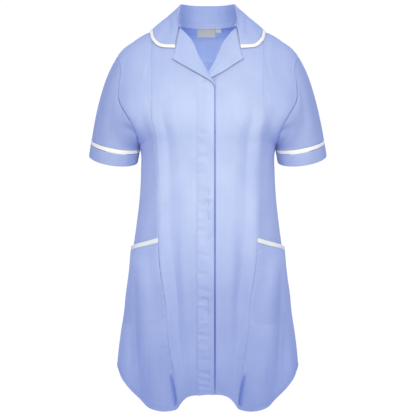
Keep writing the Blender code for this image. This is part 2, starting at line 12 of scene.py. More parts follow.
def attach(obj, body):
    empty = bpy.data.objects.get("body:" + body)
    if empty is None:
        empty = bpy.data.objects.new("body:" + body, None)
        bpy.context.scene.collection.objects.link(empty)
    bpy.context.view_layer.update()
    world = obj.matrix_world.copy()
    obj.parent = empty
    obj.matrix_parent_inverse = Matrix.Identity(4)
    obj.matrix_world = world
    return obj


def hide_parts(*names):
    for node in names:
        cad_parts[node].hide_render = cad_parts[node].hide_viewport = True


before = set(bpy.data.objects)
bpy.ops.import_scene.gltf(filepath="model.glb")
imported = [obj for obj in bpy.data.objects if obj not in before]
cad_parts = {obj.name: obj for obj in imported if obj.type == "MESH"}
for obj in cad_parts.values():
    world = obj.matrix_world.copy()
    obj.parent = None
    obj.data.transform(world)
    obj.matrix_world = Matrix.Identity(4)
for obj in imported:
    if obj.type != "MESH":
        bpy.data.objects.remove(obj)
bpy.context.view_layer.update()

# A short-sleeved maternity tunic in sky blue poplin with white piping, filled out as if worn.
# The front faces -Y. Right and left are the wearer's: right is at -X.
# Sizes below are millimetres. They become metres when a mesh is made.

millimetre = 0.001
right, left = -1, 1
bothSides = ((right, "Right"), (left, "Left"))


# small helpers for numbers and arrays

def lerp(a, b, share):
    return a + (b - a) * share


def ease(start, end, at):
    t = np.clip((at - start) / (end - start), 0, 1)
    return t * t * (3 - 2 * t)


def hump(distance, breadth):
    return np.exp(-((distance / breadth) ** 2))


def unit(vectors):
    return vectors / np.linalg.norm(vectors, axis=-1, keepdims=True)


def blends(t):
    # shares of a smooth curve's start, of its slope there, of its end and of its slope there
    return 2 * t**3 - 3 * t**2 + 1, t**3 - 2 * t**2 + t, 3 * t**2 - 2 * t**3, t**3 - t**2


def rowsOf(kind, *rows):
    return [kind(*row) for row in rows]


def curve(rows, key, column):
    # a smooth curve through a table's rows, as a function of its key column
    ordered = sorted(rows, key=lambda row: getattr(row, key))
    keys, values = (np.array([getattr(row, name) for row in ordered], float) for name in (key, column))
    slopes = np.gradient(values, keys)

    def at(where):
        where = np.clip(where, keys[0], keys[-1])
        i = np.clip(np.searchsorted(keys, where, side="right") - 1, 0, len(keys) - 2)
        step = keys[i + 1] - keys[i]
        start, leave, end, arrive = blends((where - keys[i]) / step)
        low = start * values[i] + leave * step * slopes[i]
        return low + (end * values[i + 1] + arrive * step * slopes[i + 1])

    return at


def crossing(low, high, stillBelow):
    for _ in range(40):
        middle = (low + high) / 2
        below = stillBelow(middle)
        low = np.where(below, middle, low)
        high = np.where(below, high, middle)
    return (low + high) / 2


# the torso: the sections, hems and hanging folds of the solid model. Low down in front its
# armhole lies a little nearer the middle than the solid's.

Section = namedtuple("Section", "z halfWidth front back")
Armhole = namedtuple("Armhole", "z front back")
Hem = namedtuple("Hem", "x z")
Seam = namedtuple("Seam", "z x")
Fold = namedtuple("Fold", "topAngle hemAngle topZ breadth depth")
Step = namedtuple("Step", "past height")
Sample = namedtuple("Sample", "at value")

torso = {
    "frontPower": 2.5,
    "backPower": 2.3,
    "sections": rowsOf(
        Section, (16, 60, 38, 59), (12, 74, 45, 63), (7.5, 90, 51, 68), (2, 107, 56, 73), (-3, 124, 61, 78),
        (-9, 136.5, 65, 82), (-21.5, 155.5, 73, 89), (-34, 173.5, 80, 95), (-50, 186.5, 88, 102),
        (-68, 194, 97, 108), (-88, 198.5, 107, 113), (-120, 202, 121, 118), (-151, 198, 136, 120),
        (-172, 186, 144, 120), (-193, 170, 149, 119), (-208, 157, 150, 117), (-225, 145, 149, 115),
        (-246, 140.5, 148, 112), (-288, 140, 148, 108), (-351, 143, 156, 106), (-414, 150.5, 166, 110),
        (-456, 156.5, 170, 113), (-498, 161.5, 170, 118), (-561, 171.5, 163, 125), (-626, 182.5, 156, 133),
        (-695, 190.5, 152, 140), (-770, 192.5, 149, 146)),
    "shoulderZ": -51.0,
    "armpitZ": -232.0,
    "armhole": rowsOf(
        Armhole, (-51, 84, 76), (-75, 78, 74), (-105, 70, 66), (-146, 73, 64), (-181, 98, 70),
        (-205, 115, 74), (-232, 118, 74)),
    "frontHem": rowsOf(
        Hem, (0, -735), (18, -736.5), (33, -738), (47.7, -744.5), (58, -755), (66.9, -766.5), (77, -770.5),
        (110, -768.5), (130, -762), (145, -751), (159, -735), (172, -717.5), (184, -703.5), (192.5, -697)),
    "backHem": rowsOf(
        Hem, (0, -768), (60, -765), (110, -750), (145, -728), (172, -709), (192.5, -697)),
    "princess": rowsOf(
        Seam, (2, 113.5), (-34, 114.2), (-118, 113.1), (-183, 111.4), (-203, 106.5), (-228, 103.1),
        (-264, 100.7), (-336, 99.7), (-424, 97.2), (-474, 94.2), (-504, 90.1), (-544, 84.6), (-625, 80.1),
        (-665, 74.9), (-706, 68.5), (-770, 60)),
    # the roll of the right lapel, from the shoulder down to the top of the placket's edge
    "roll": rowsOf(
        Seam, (16, -60), (11, -59), (6.5, -57.2), (-4.1, -46.7), (-17.2, -35), (-55.5, -16.3), (-86.2, 0.5),
        (-96.2, 6.5), (-106.3, 12.6), (-117.4, 15.9)),
    "breakZ": -117.4,
    # angles are degrees round the body from the middle of the front, and a ridge has a negative depth
    "folds": rowsOf(
        Fold, (21, 17.5, -190, 5.5, 7.0), (33, 28, -230, 7.5, -2.5), (62, 43, -480, 7.5, 8.0),
        (78, 60, -520, 7.5, -4.0), (106, 108, -330, 9.0, 6.0), (124, 126, -260, 9.0, -5.0),
        (140, 146, -200, 8.0, 8.0), (160, 166, -420, 8.0, 6.0)),
    # the cloth beside a princess seam: its height against the distance past the seam
    "seamForm": rowsOf(
        Step, (-66, 0), (-52, 0.6), (-40, 0.5), (-30, -1.9), (-21, -4.0), (-13, -0.8), (-5, 2.5), (0, 3.0),
        (8, 0.7), (16, -1.5), (26, -2.2), (36, -1.1), (46, 0)),
    "middleDepth": 6.5,     # the skirt falls back below the fullest part
    "middleBreadth": 75.0,
    "hemMiddleZ": -740.0,
    "neckX": 60.0,
    "napeZ": 10.5,
    "skirtRows": 18,
    "armholeRows": 14,
    "layer": 2.7,       # from one cloth's outer face to the next one's
}
halfWidth, frontDepth, backDepth = (curve(torso["sections"], "z", column) for column in Section._fields[1:])
armholeFront, armholeBack = (curve(torso["armhole"], "z", column) for column in Armhole._fields[1:])
frontHem, backHem = (curve(torso[name], "x", "z") for name in ("frontHem", "backHem"))
princessX, rollX = (curve(torso[name], "z", "x") for name in ("princess", "roll"))
seamForm = curve(torso["seamForm"], "past", "height")
topZ = torso["sections"][0].z


def sectionPoint(angle, z):
    radians = np.radians(angle)
    inFront = np.cos(radians) >= 0
    power = np.where(inFront, torso["frontPower"], torso["backPower"])
    depth = np.where(inFront, -frontDepth(z), backDepth(z))
    x = np.sign(np.sin(radians)) * halfWidth(z) * np.abs(np.sin(radians)) ** (2 / power)
    y = depth * np.abs(np.cos(radians)) ** (2 / power)
    return np.stack([x, y, z + 0 * x], -1)


def foldDepth(angle, z):
    total = 0
    turn = np.abs((angle + 180) % 360 - 180)
    for fold in torso["folds"]:
        fall = np.maximum((fold.topZ - z) / (fold.topZ - torso["hemMiddleZ"]), 0)
        middle = lerp(fold.topAngle, fold.hemAngle, np.minimum(fall, 1))
        total = total + fold.depth * fall**0.8 * hump(turn - middle, fold.breadth)
    past = np.abs(sectionPoint(angle, z)[..., 0]) - princessX(z)
    formed = ease(-120, -200, z) * (1 - 0.4 * ease(-560, -740, z)) * ease(92, 86, turn)
    below = ease(-485, -580, z) * ease(92, 86, turn)
    middle = below * hump(past + princessX(z), torso["middleBreadth"])
    return total - formed * seamForm(past) + torso["middleDepth"] * middle


def hangingPoint(angle, z):
    turn = sectionPoint(angle + 1, z) - sectionPoint(angle - 1, z)
    outward = unit(np.stack([turn[..., 1], -turn[..., 0], 0 * turn[..., 0]], -1))
    return sectionPoint(angle, z) - outward * foldDepth(angle, z)[..., None]


def bodyPoint(angle, z, lift=0.0):
    across = hangingPoint(angle + 1, z) - hangingPoint(angle - 1, z)
    up = hangingPoint(angle, z + 1) - hangingPoint(angle, z - 1)
    return hangingPoint(angle, z) + unit(np.cross(across, up)) * (lift + 0 * z)[..., None]


def angleAt(x, z, behind=False):
    power = torso["backPower"] if behind else torso["frontPower"]
    reach = np.minimum(np.abs(x) / halfWidth(z), 1.0)
    angle = np.degrees(np.arcsin(reach ** (power / 2)))
    return np.copysign(180 - angle if behind else angle, x)


def armholeAngle(z, behind=False):
    # where the armhole, or below it the side seam, lies on the left
    high, low = torso["shoulderZ"], torso["armpitZ"]
    rise = np.clip((z - low) / ((high - low) / 2) - 1, -1, 1)
    breadth = (armholeBack if behind else armholeFront)(z) * np.sqrt(1 - rise**2)
    depth = (backDepth if behind else frontDepth)(z)
    power = torso["backPower"] if behind else torso["frontPower"]
    angle = np.degrees(np.arccos(np.minimum(breadth / depth, 1.0) ** (power / 2)))
    return 180 - angle if behind else angle


def rowHeight(row, hem, top):
    skirtRows, armholeRows = torso["skirtRows"], torso["armholeRows"]
    share = (1 - np.cos(math.pi * np.clip((row - skirtRows) / armholeRows, 0, 1))) / 2
    low = lerp(hem, torso["armpitZ"], row / skirtRows)
    return np.where(row <= skirtRows, low, lerp(torso["armpitZ"], top, share))


def ridgeZ(x):
    # height of the shoulder seam at a distance from the middle
    reach = np.abs(np.asarray(x, float))
    low = np.full_like(reach, torso["shoulderZ"])
    return crossing(low, np.full_like(reach, topZ), lambda z: halfWidth(z) > reach)


# cloth: a grid laid on a shape, pushed in and out by its relief, with a thin wall behind it

Sheet = namedtuple("Sheet", "points normals columns rows fromLeft fromRight fromLow fromTop")
sheets = {}


def gridLines(length, cell, close=(0.7, 1.6, 3.2)):
    # lines across a width, closer together next to both edges
    inner = np.linspace(close[-1], length - close[-1], max(2, round(length / cell)))
    ends = np.array((0.0,) + close[:-1])
    return np.concatenate([ends, inner, (length - ends)[::-1]]) / length


def gridNormals(points):
    return unit(np.cross(np.gradient(points, axis=0), np.gradient(points, axis=1)))


def measured(points, columns, rows):
    steps = [np.diff(points, axis=axis, prepend=np.take(points, [0], axis)) for axis in (0, 1)]
    across, along = (np.cumsum(np.linalg.norm(step, axis=-1), axis=axis) for axis, step in enumerate(steps))
    return Sheet(points, gridNormals(points), columns, rows,
                 across, across[-1:] - across, along, along[:, -1:] - along)


def foldOver(distance, radius):
    # distance from a folded edge, negative on the turned-in side, to (inset, lift)
    turn = np.minimum(np.abs(distance) / radius, math.pi / 2)
    beyond = np.maximum(np.abs(distance) - radius * math.pi / 2, 0)
    return beyond + radius * (1 - np.cos(turn)), radius * (np.sign(distance) * np.sin(turn) - 1)


# painted shade: cloth is painted deeper blue down in a seam or a sharp crease, where it is lit by other cloth
# alone
creaseShading = {
    "least": 0.18,    # change of slope where this begins and where it is full
    "full": 1.0,
    "level": 0.25,    # less for level ones, which are lit from above
    "tint": (0.50, 0.60, 0.93, 1),
}


def bends(height, along, axis):
    # how much the relief turns upward at each point, in one direction of the cloth
    step = np.maximum(np.abs(np.diff(along, axis=axis)), 0.3)
    slope = np.diff(height, axis=axis) / step
    none = np.zeros_like(np.take(height, [0], axis=axis))
    return np.concatenate([slope, none], axis) - np.concatenate([none, slope], axis)


def makeCloth(name, columns, rows, shape, material, relief, wall=0.8, closed=False, hangs=True):
    u, v = np.meshgrid(columns, rows, indexing="ij")
    plain = measured(shape(u, v), columns, rows)
    height = relief(plain, u, v)
    points = plain.points + plain.normals * height[..., None]
    upright, level = bends(height, plain.fromLeft, 0), bends(height, plain.fromLow, 1)
    # painted shade: how deep each point lies in a seam or crease, kept on the mesh for the material to darken
    deep = ease(creaseShading["least"], creaseShading["full"], np.maximum(upright, creaseShading["level"] * level))
    sheet = measured(points, columns, rows)
    sheets[name] = sheet
    middle = len(columns) // 2
    grainU = (sheet.fromLeft - sheet.fromLeft[middle]) * millimetre
    grainV = (-sheet.fromTop if hangs else sheet.fromLow) * millimetre

    bm = bmesh.new()
    bmesh.ops.create_grid(bm, x_segments=len(columns) - 1, y_segments=len(rows) - 1, size=0.5)
    creaseShade = bm.verts.layers.float.new("creaseShade")
    place = {}
    for vertex in bm.verts:
        i = round((vertex.co.x + 0.5) * (len(columns) - 1))
        j = round((vertex.co.y + 0.5) * (len(rows) - 1))
        place[vertex.index] = (i, j)
        vertex.co = points[i, j] * millimetre
        vertex[creaseShade] = deep[i, j]
    grain = bm.loops.layers.uv.new("grain")
    for face in bm.faces:
        for loop in face.loops:
            i, j = place[loop.vert.index]
            loop[grain].uv = (grainU[i, j], grainV[i, j])
    if closed:
        bmesh.ops.remove_doubles(bm, verts=bm.verts, dist=1e-6)
    piece = finished(name, bm, material)
    thickness = piece.modifiers.new("Cloth wall", "SOLIDIFY")
    thickness.thickness = wall * millimetre
    thickness.offset = -1.0
    return piece


def finished(name, bm, material):
    mesh = bpy.data.meshes.new(name)
    bm.to_mesh(mesh)
    bm.free()
    mesh.shade_smooth()
    mesh.materials.append(material)
    piece = bpy.data.objects.new(name, mesh)
    bpy.context.scene.collection.objects.link(piece)
    return piece


def sew(name, columns, rows, shape, relief, cut, restsOn, material=None, slot="body_cloth", **wall):
    # a piece of cloth, named after the node that it replaces
    node = re.sub("([A-Z])", r"_\1", name.removesuffix("Cloth")).lower()
    piece = makeCloth(name, columns, rows, shape, material or poplin, relief, **wall)
    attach(piece, "root")
    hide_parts(node)


# relief: seams, hems, puckers and creases, as heights above the plain cloth

Crease = namedtuple("Crease", "x1 z1 x2 z2 breadth height bow")


def creased(table, x, z):
    # each crease is a soft trough or ridge along a slightly bowed line, fading out at both ends
    total = 0 * x
    for crease in table:
        dx, dz = crease.x2 - crease.x1, crease.z2 - crease.z1
        length = math.hypot(dx, dz)
        along = ((x - crease.x1) * dx + (z - crease.z1) * dz) / length**2
        off = ((x - crease.x1) * dz - (z - crease.z1) * dx) / length
        inside = np.clip(along, 0, 1)
        off = off - crease.bow * 4 * inside * (1 - inside)
        past = (along - inside) * length
        fade = np.sin(math.pi * np.clip(along, 0, 1)) * hump(past, crease.breadth)
        total = total + crease.height * fade * hump(off, crease.breadth)
    return total


def puckers(along, distance, reach, height, phase):
    # small uneven waves that a line of stitches draws into the cloth beside it
    wave = np.sin(along / 2.3 + phase) + 0.8 * np.sin(along / 3.7 + 2.3 * phase)
    wave = wave + 0.5 * np.sin(along / 1.45 - phase)
    swell = 0.55 + 0.45 * np.sin(along / 31 + 1.7 * phase)
    return height * wave * swell * hump(distance, reach) * ease(0, 2.5, distance)


def drift(x, z, phase):
    # slow uneven swelling of hanging cloth
    first = np.sin(x / 47 + 0.013 * z + phase) * np.sin(z / 83 + phase * 2.1)
    second = np.sin(x / 23 - 0.021 * z + phase * 1.3) * np.sin(z / 61 - phase)
    return 0.5 * first + 0.25 * second


def seamEdge(distance, depth=0.8, breadth=1.5):
    return -depth * hump(distance, breadth)


def placeOf(sheet):
    return sheet.points[..., 0], sheet.points[..., 2]


def edgesOf(sheet, leftFirst):
    # distances from both side edges, the one that matters first
    return (sheet.fromLeft, sheet.fromRight) if leftFirst else (sheet.fromRight, sheet.fromLeft)


def hemBand(distance):
    # the doubled hem stands a little proud, with a furrow where it is stitched
    past = distance - bodyCut["hemStitch"]
    return np.where(distance > 0, 0.5 * (1 - ease(-0.6, 0.8, past)) - 0.9 * hump(past, 1.0), 0)


def hemmed(sheet, distance, total, *pucker):
    # adds a puckered hem. There is no relief on the part of it that is turned in.
    past = distance - bodyCut["hemStitch"]
    drawn = puckers(sheet.fromLeft, past, *pucker) * ease(0, 1.4, past)
    return np.where(distance > 0, total + drawn + hemBand(distance) + seamEdge(sheet.fromTop), 0)


# materials

def setUp(tree, node, values):
    # a value is a plain one or the socket of another node
    for key, value in values.items():
        if isinstance(value, bpy.types.NodeSocket):
            tree.links.new(value, node.inputs[key])
        elif key in node.inputs:
            node.inputs[key].default_value = value
        else:
            setattr(node, key, value)
    return node


def nodeOf(tree, kind, **values):
    return setUp(tree, tree.nodes.new(kind), values)


def emptyMaterial(name):
    material = bpy.data.materials.new(name)
    material.use_nodes = True
    return material, material.node_tree, material.node_tree.nodes["Principled BSDF"]


weaving = {
    "warpSlub": (420.0, 6.0, 1.0),      # uneven threads along the cloth
    "weftSlub": (9.0, 520.0, 1.0),      # and across it
    "cloud": (9.0, 9.0, 9.0),           # slow change of shade
    "slubShare": 0.35,
    "darkest": 0.45,
    "lightest": 1.15,
    "slubHeight": 0.6,
    "threadHeight": 0.12,
    "unevenness": 0.06,
    "sheenRoughness": 0.45,
}


# shades, pitch of the threads in millimetres, and how the cloth takes the light
Finish = namedtuple("Finish", "dark light pitch bump roughness specular sheen sheenTint")


def weave(name, finish):
    material, tree, shader = emptyMaterial(name)
    grain = nodeOf(tree, "ShaderNodeUVMap", uv_map="grain").outputs["UV"]

    def threads(direction):
        # one set of threads, a sine across the cloth
        scale = 2 * math.pi / (20 * finish.pitch * millimetre)
        return nodeOf(tree, "ShaderNodeTexWave", wave_type="BANDS", bands_direction=direction, Scale=scale,
                      Distortion=0.0, Vector=grain).outputs["Fac"]

    def noise(stretch, detail):
        spread = nodeOf(tree, "ShaderNodeMapping", Scale=stretch, Vector=grain).outputs["Vector"]
        return nodeOf(tree, "ShaderNodeTexNoise", Scale=1.0, Detail=detail, Roughness=0.55,
                      Vector=spread).outputs["Fac"]

    def combined(operation, first, second, share=None):
        # first and second added or multiplied, or with a share first times it plus second
        node = nodeOf(tree, "ShaderNodeMath", operation=operation)
        tree.links.new(first, node.inputs[0])
        tree.links.new(second, node.inputs[2 if share else 1])
        if share:
            node.inputs[1].default_value = share
        return node.outputs[0]

    crossed = combined("MULTIPLY", threads("X"), threads("Y"))
    shade = combined("ADD", noise(weaving["warpSlub"], 2.0), noise(weaving["weftSlub"], 2.0))
    cloud = noise(weaving["cloud"], 3.0)
    colour = nodeOf(tree, "ShaderNodeValToRGB",
                    Fac=combined("MULTIPLY_ADD", shade, cloud, weaving["slubShare"]))
    ends = colour.color_ramp.elements
    ends[0].position, ends[1].position = weaving["darkest"], weaving["lightest"]
    ends[0].color, ends[1].color = (*finish.dark, 1), (*finish.light, 1)
    # painted shade: the colour is multiplied by a deeper blue in seams and creases
    creaseShade = nodeOf(tree, "ShaderNodeAttribute", attribute_name="creaseShade").outputs["Fac"]
    shadedColour = nodeOf(tree, "ShaderNodeMixRGB", blend_type="MULTIPLY", Color2=creaseShading["tint"], Fac=creaseShade,
                      Color1=colour.outputs["Color"])
    height = combined("MULTIPLY_ADD", shade, crossed, weaving["slubHeight"])
    bump = nodeOf(tree, "ShaderNodeBump", Strength=finish.bump, Height=height,
                  Distance=weaving["threadHeight"] * millimetre)
    rough = nodeOf(tree, "ShaderNodeMapRange", Value=cloud,
                   **{"To Min": finish.roughness - weaving["unevenness"],
                      "To Max": finish.roughness + weaving["unevenness"]})
    setUp(tree, shader, {
        "Base Color": shadedColour.outputs["Color"],
        "Normal": bump.outputs["Normal"],
        "Roughness": rough.outputs["Result"],
        "Specular IOR Level": finish.specular,
        "Sheen Weight": finish.sheen,
        "Sheen Roughness": weaving["sheenRoughness"],
        "Sheen Tint": (*finish.sheenTint, 1),
    })
    return material


poplin, shadedPoplin, piping, labelWeave, tabWeave, blueThread, whiteThread = (
    weave(name, Finish(*values)) for name, *values in (
        ("skyBluePoplin", (0.318, 0.400, 0.800), (0.398, 0.482, 0.885), 0.42, 0.5, 0.68, 0.35, 0.18,
         (0.75, 0.82, 1.0)),
        ("skyBluePoplinAcross", (0.274, 0.350, 0.735), (0.340, 0.420, 0.810), 0.42, 0.5, 0.68, 0.35, 0.16,
         (0.75, 0.82, 1.0)),     # the same cloth made darker: painted shade on the sleeves and cuffs
        ("whitePiping", (0.78, 0.80, 0.92), (0.86, 0.87, 0.97), 0.5, 0.5, 0.7, 0.3, 0.1, (1.0, 1.0, 1.0)),
        ("beigeLabel", (0.62, 0.57, 0.545), (0.72, 0.67, 0.64), 0.3, 0.8, 0.6, 0.4, 0.1, (1.0, 0.97, 0.9)),
        ("creamTab", (0.76, 0.71, 0.68), (0.85, 0.80, 0.77), 0.3, 0.8, 0.6, 0.4, 0.1, (1.0, 0.98, 0.93)),
        ("blueThread", (0.36, 0.43, 0.78), (0.42, 0.50, 0.85), 0.3, 0.3, 0.5, 0.5, 0.2, (0.8, 0.85, 1.0)),
        ("whiteThread", (0.72, 0.73, 0.78), (0.82, 0.82, 0.86), 0.3, 0.3, 0.5, 0.5, 0.2, (1.0, 1.0, 1.0)),
    ))
print("materials ready")


# body panels

bodyCut = {
    "cell": 4.2,
    "hemRow": 29.0,         # millimetres of cloth in one row of the skirt
    "hemLines": (-9.0, -6.0, -3.0, -1.4, -0.7, 0.0, 0.7, 1.4, 2.6, 4.4, 5.6, 6.4, 7.2, 9.0),
    "hemStitch": 6.6,
    "foldRadius": 0.85,
    "skirtFrom": 13.0,
    "skirtLines": 215,
    "armholeLines": 64,
}
allRows = torso["skirtRows"] + torso["armholeRows"]


def bodyRows(high=allRows):
    hem = np.array(bodyCut["hemLines"]) / bodyCut["hemRow"]
    skirt = np.linspace(bodyCut["skirtFrom"] / bodyCut["hemRow"], torso["skirtRows"], bodyCut["skirtLines"])
    above = round(bodyCut["armholeLines"] * (high - torso["skirtRows"]) / torso["armholeRows"])
    return np.concatenate([hem, skirt, np.linspace(torso["skirtRows"], high, above)[1:]])


def hemFold(v):
    # the row of the body, and the lift of the cloth round the folded hem
    inset, lift = foldOver(v * bodyCut["hemRow"], bodyCut["foldRadius"])
    return inset / bodyCut["hemRow"], lift


def bodyPanel(edges, tops, hem, under=None):
    # edges are two functions from height to angle, tops the distances at which they reach the shoulder
    low = torso["hemMiddleZ"]
    hemAngles = [edge(np.array(low)) for edge in edges]
    hems = [hem(np.abs(sectionPoint(angle, np.array(low))[..., 0])) for angle in hemAngles]

    def shape(u, v):
        row, lift = hemFold(v)
        hemX = np.abs(sectionPoint(lerp(*hemAngles, u), low + 0 * u)[..., 0])
        z = rowHeight(row, hem(hemX), ridgeZ(lerp(*tops, u)))
        angles = [edge(rowHeight(row, edgeHem, ridgeZ(top))) for edge, edgeHem, top in zip(edges, hems, tops)]
        angle = lerp(*angles, u)
        if under:
            lift = lift + under(sectionPoint(angle, z)[..., 0], z)
        return bodyPoint(angle, z, lift)

    return shape


frontFinish = {
    "seam": 0.05,
    "placketSeamX": -21.9,
    "placketEdgeX": 12.9,
    "underlapX": -18.0,
    "rollInset": 1.6,
    # how far the left front sinks beside the placket's free edge
    "gap": rowsOf(Sample, (-740, 1.0), (-690, 4.0), (-600, 6.5), (-480, 4.5), (-390, 6.5), (-330, 6.0),
                  (-270, 4.5), (-215, 4.5), (-170, 2.6), (-128, 1.8)),
    "gapX": 14.1,
    "gapBreadth": 1.25,
    "gapLines": (0.125, 0.335, 62),
    "creases": rowsOf(
        Crease, (46, -150, 40, -330, 11.0, -1.3, -3), (52, -390, 47, -600, 12.0, 1.3, 3),
        (31, -480, 34, -735, 9.0, -1.6, 2), (58, -610, 52, -735, 7.0, 1.4, -1),
        (72, -560, 66, -735, 6.0, -1.6, 1.5), (100, -118, 74, -150, 9.0, -0.9, 2),
        (84, -88, 58, -132, 8.0, -0.8, -2)),
    "chestRise": 6.0,       # fullness in front of the armpit
    "sideCreases": rowsOf(
        Crease, (117, -58, 128, -102, 4.0, -1.6, 1), (122, -56, 136, -98, 5.0, 1.0, 2),
        (113, -126, 124, -148, 3.5, -1.3, -1), (122, -140, 151, -205, 6.0, 1.2, 3),
        (134, -150, 118, -230, 7.0, -1.5, -3), (144, -128, 164, -172, 6.0, -1.2, 2),
        (167, -560, 158, -735, 9.0, -5.5, 2), (134, -455, 128, -690, 15.0, 4.6, 2),
        (150, -560, 143, -735, 5.0, -2.6, 1), (112, -610, 108, -760, 7.0, 1.8, -2),
        (77, -690, 63.5, -792, 4.6, -10.0, 1), (168, -560, 166, -700, 7.0, 2.4, 2),
        (133, -250, 128, -400, 6.0, -1.4, 2)),
}


def princessAngle(side, gap):
    return lambda z: side * angleAt(princessX(z) + gap, z)


def sideAngle(side):
    return lambda z: side * armholeAngle(z)


def rightInnerAngle(z):
    rolled = rollX(z) - frontFinish["rollInset"]
    return angleAt(np.minimum(frontFinish["placketSeamX"] - frontFinish["seam"], rolled), z)


def leftInnerAngle(z):
    rolled = np.where(z > torso["breakZ"], -rollX(z) + frontFinish["rollInset"], -1e3)
    return angleAt(np.maximum(frontFinish["underlapX"], rolled), z)


def aboveArmpit(z):
    return ease(torso["armpitZ"] - 4, torso["armpitZ"] + 12, z)


def underRight(x, z):
    # how far the left front lies under the right one
    return -torso["layer"] * (1 + ease(-160, -124, z)) * (1 - ease(22, 60, x))


sunk = curve(frontFinish["gap"], "at", "value")


def centreRelief(princessIsLeft, tucks, sheet, u, v):
    x, z = placeOf(sheet)
    seam, inner = edgesOf(sheet, princessIsLeft)
    distance = v * bodyCut["hemRow"]
    total = seamEdge(seam, 0.35, 1.1)
    total += puckers(sheet.fromLow, seam, 7, 0.22, 1.3 if princessIsLeft else 2.9)
    total += creased(frontFinish["creases"], np.abs(x), z) * ease(0, 30, distance)
    total += 0.9 * drift(x, z, 0.7 if princessIsLeft else 1.9) * ease(0, 40, inner)
    if tucks:
        total += seamEdge(inner, 0.3, 1.0) + puckers(sheet.fromLow, inner, 9, 0.22, 4.1)
    else:
        total -= sunk(z) * hump(x - frontFinish["gapX"], frontFinish["gapBreadth"])
    return hemmed(sheet, distance, total, 16, 0.22, 2.4)


def sideRelief(princessIsLeft, sheet, u, v):
    x, z = placeOf(sheet)
    seam, outer = edgesOf(sheet, princessIsLeft)
    distance = v * bodyCut["hemRow"]
    deep = ease(-120, -165, z)
    total = seamEdge(seam, 0.35, 1.1) + (0.3 + 2.2 * deep) * seamEdge(outer, 0.8, 1.3)
    total += 0.9 * hump(outer - 4.5, 3.0) * aboveArmpit(z)
    chest = ease(-135, -175, z) * (1 - ease(-195, -265, z))
    total += frontFinish["chestRise"] * chest * ease(0, 8, outer) * hump(outer - 8, 26)
    lower = 0.16 + 0.45 * ease(-400, -460, z)
    total += puckers(sheet.fromLow, seam, 10, lower, 0.6 if princessIsLeft else 2.2)
    total += puckers(sheet.fromLow, outer, 10, 0.22 * aboveArmpit(z), 3.6)
    total += creased(frontFinish["sideCreases"], np.abs(x), z) * ease(0, 20, distance)
    total += 0.8 * drift(x, z, 2.6 if princessIsLeft else 3.3) * ease(0, 25, outer)
    return hemmed(sheet, distance, total, 20, 0.42, 1.6)


def sewFront(name, columns, edges, tops, relief, flat, area, under=None):
    sew(name, columns, bodyRows(), bodyPanel(edges, tops, frontHem, under), relief,
        {"flat": flat, "area": area, "held": "hung"}, "back_yoke")


seam, cell = frontFinish["seam"], bodyCut["cell"]
neckX, seamX, shoulderX = torso["neckX"], torso["princess"][0].x, float(halfWidth(torso["shoulderZ"]))
gapColumns = np.union1d(gridLines(118, cell), np.linspace(*frontFinish["gapLines"]))
sewFront("frontRightCloth", gridLines(95, cell), (princessAngle(right, -seam), rightInnerAngle),
         (-seamX, -neckX), partial(centreRelief, True, True), (0.115, 0.86), 0.064)
sewFront("frontLeftCloth", gapColumns, (leftInnerAngle, princessAngle(left, -seam)),
         (neckX, seamX), partial(centreRelief, False, False), (0.150, 0.86), 0.091, underRight)
sewFront("sideFrontRightCloth", gridLines(150, cell), (sideAngle(right), princessAngle(right, seam)),
         (-shoulderX, -seamX), partial(sideRelief, False), (0.250, 0.86), 0.113)
sewFront("sideFrontLeftCloth", gridLines(150, cell), (princessAngle(left, seam), sideAngle(left)),
         (seamX, shoulderX), partial(sideRelief, True), (0.250, 0.86), 0.113)
print("fronts ready")


# the placket, a doubled strip with a folded free edge

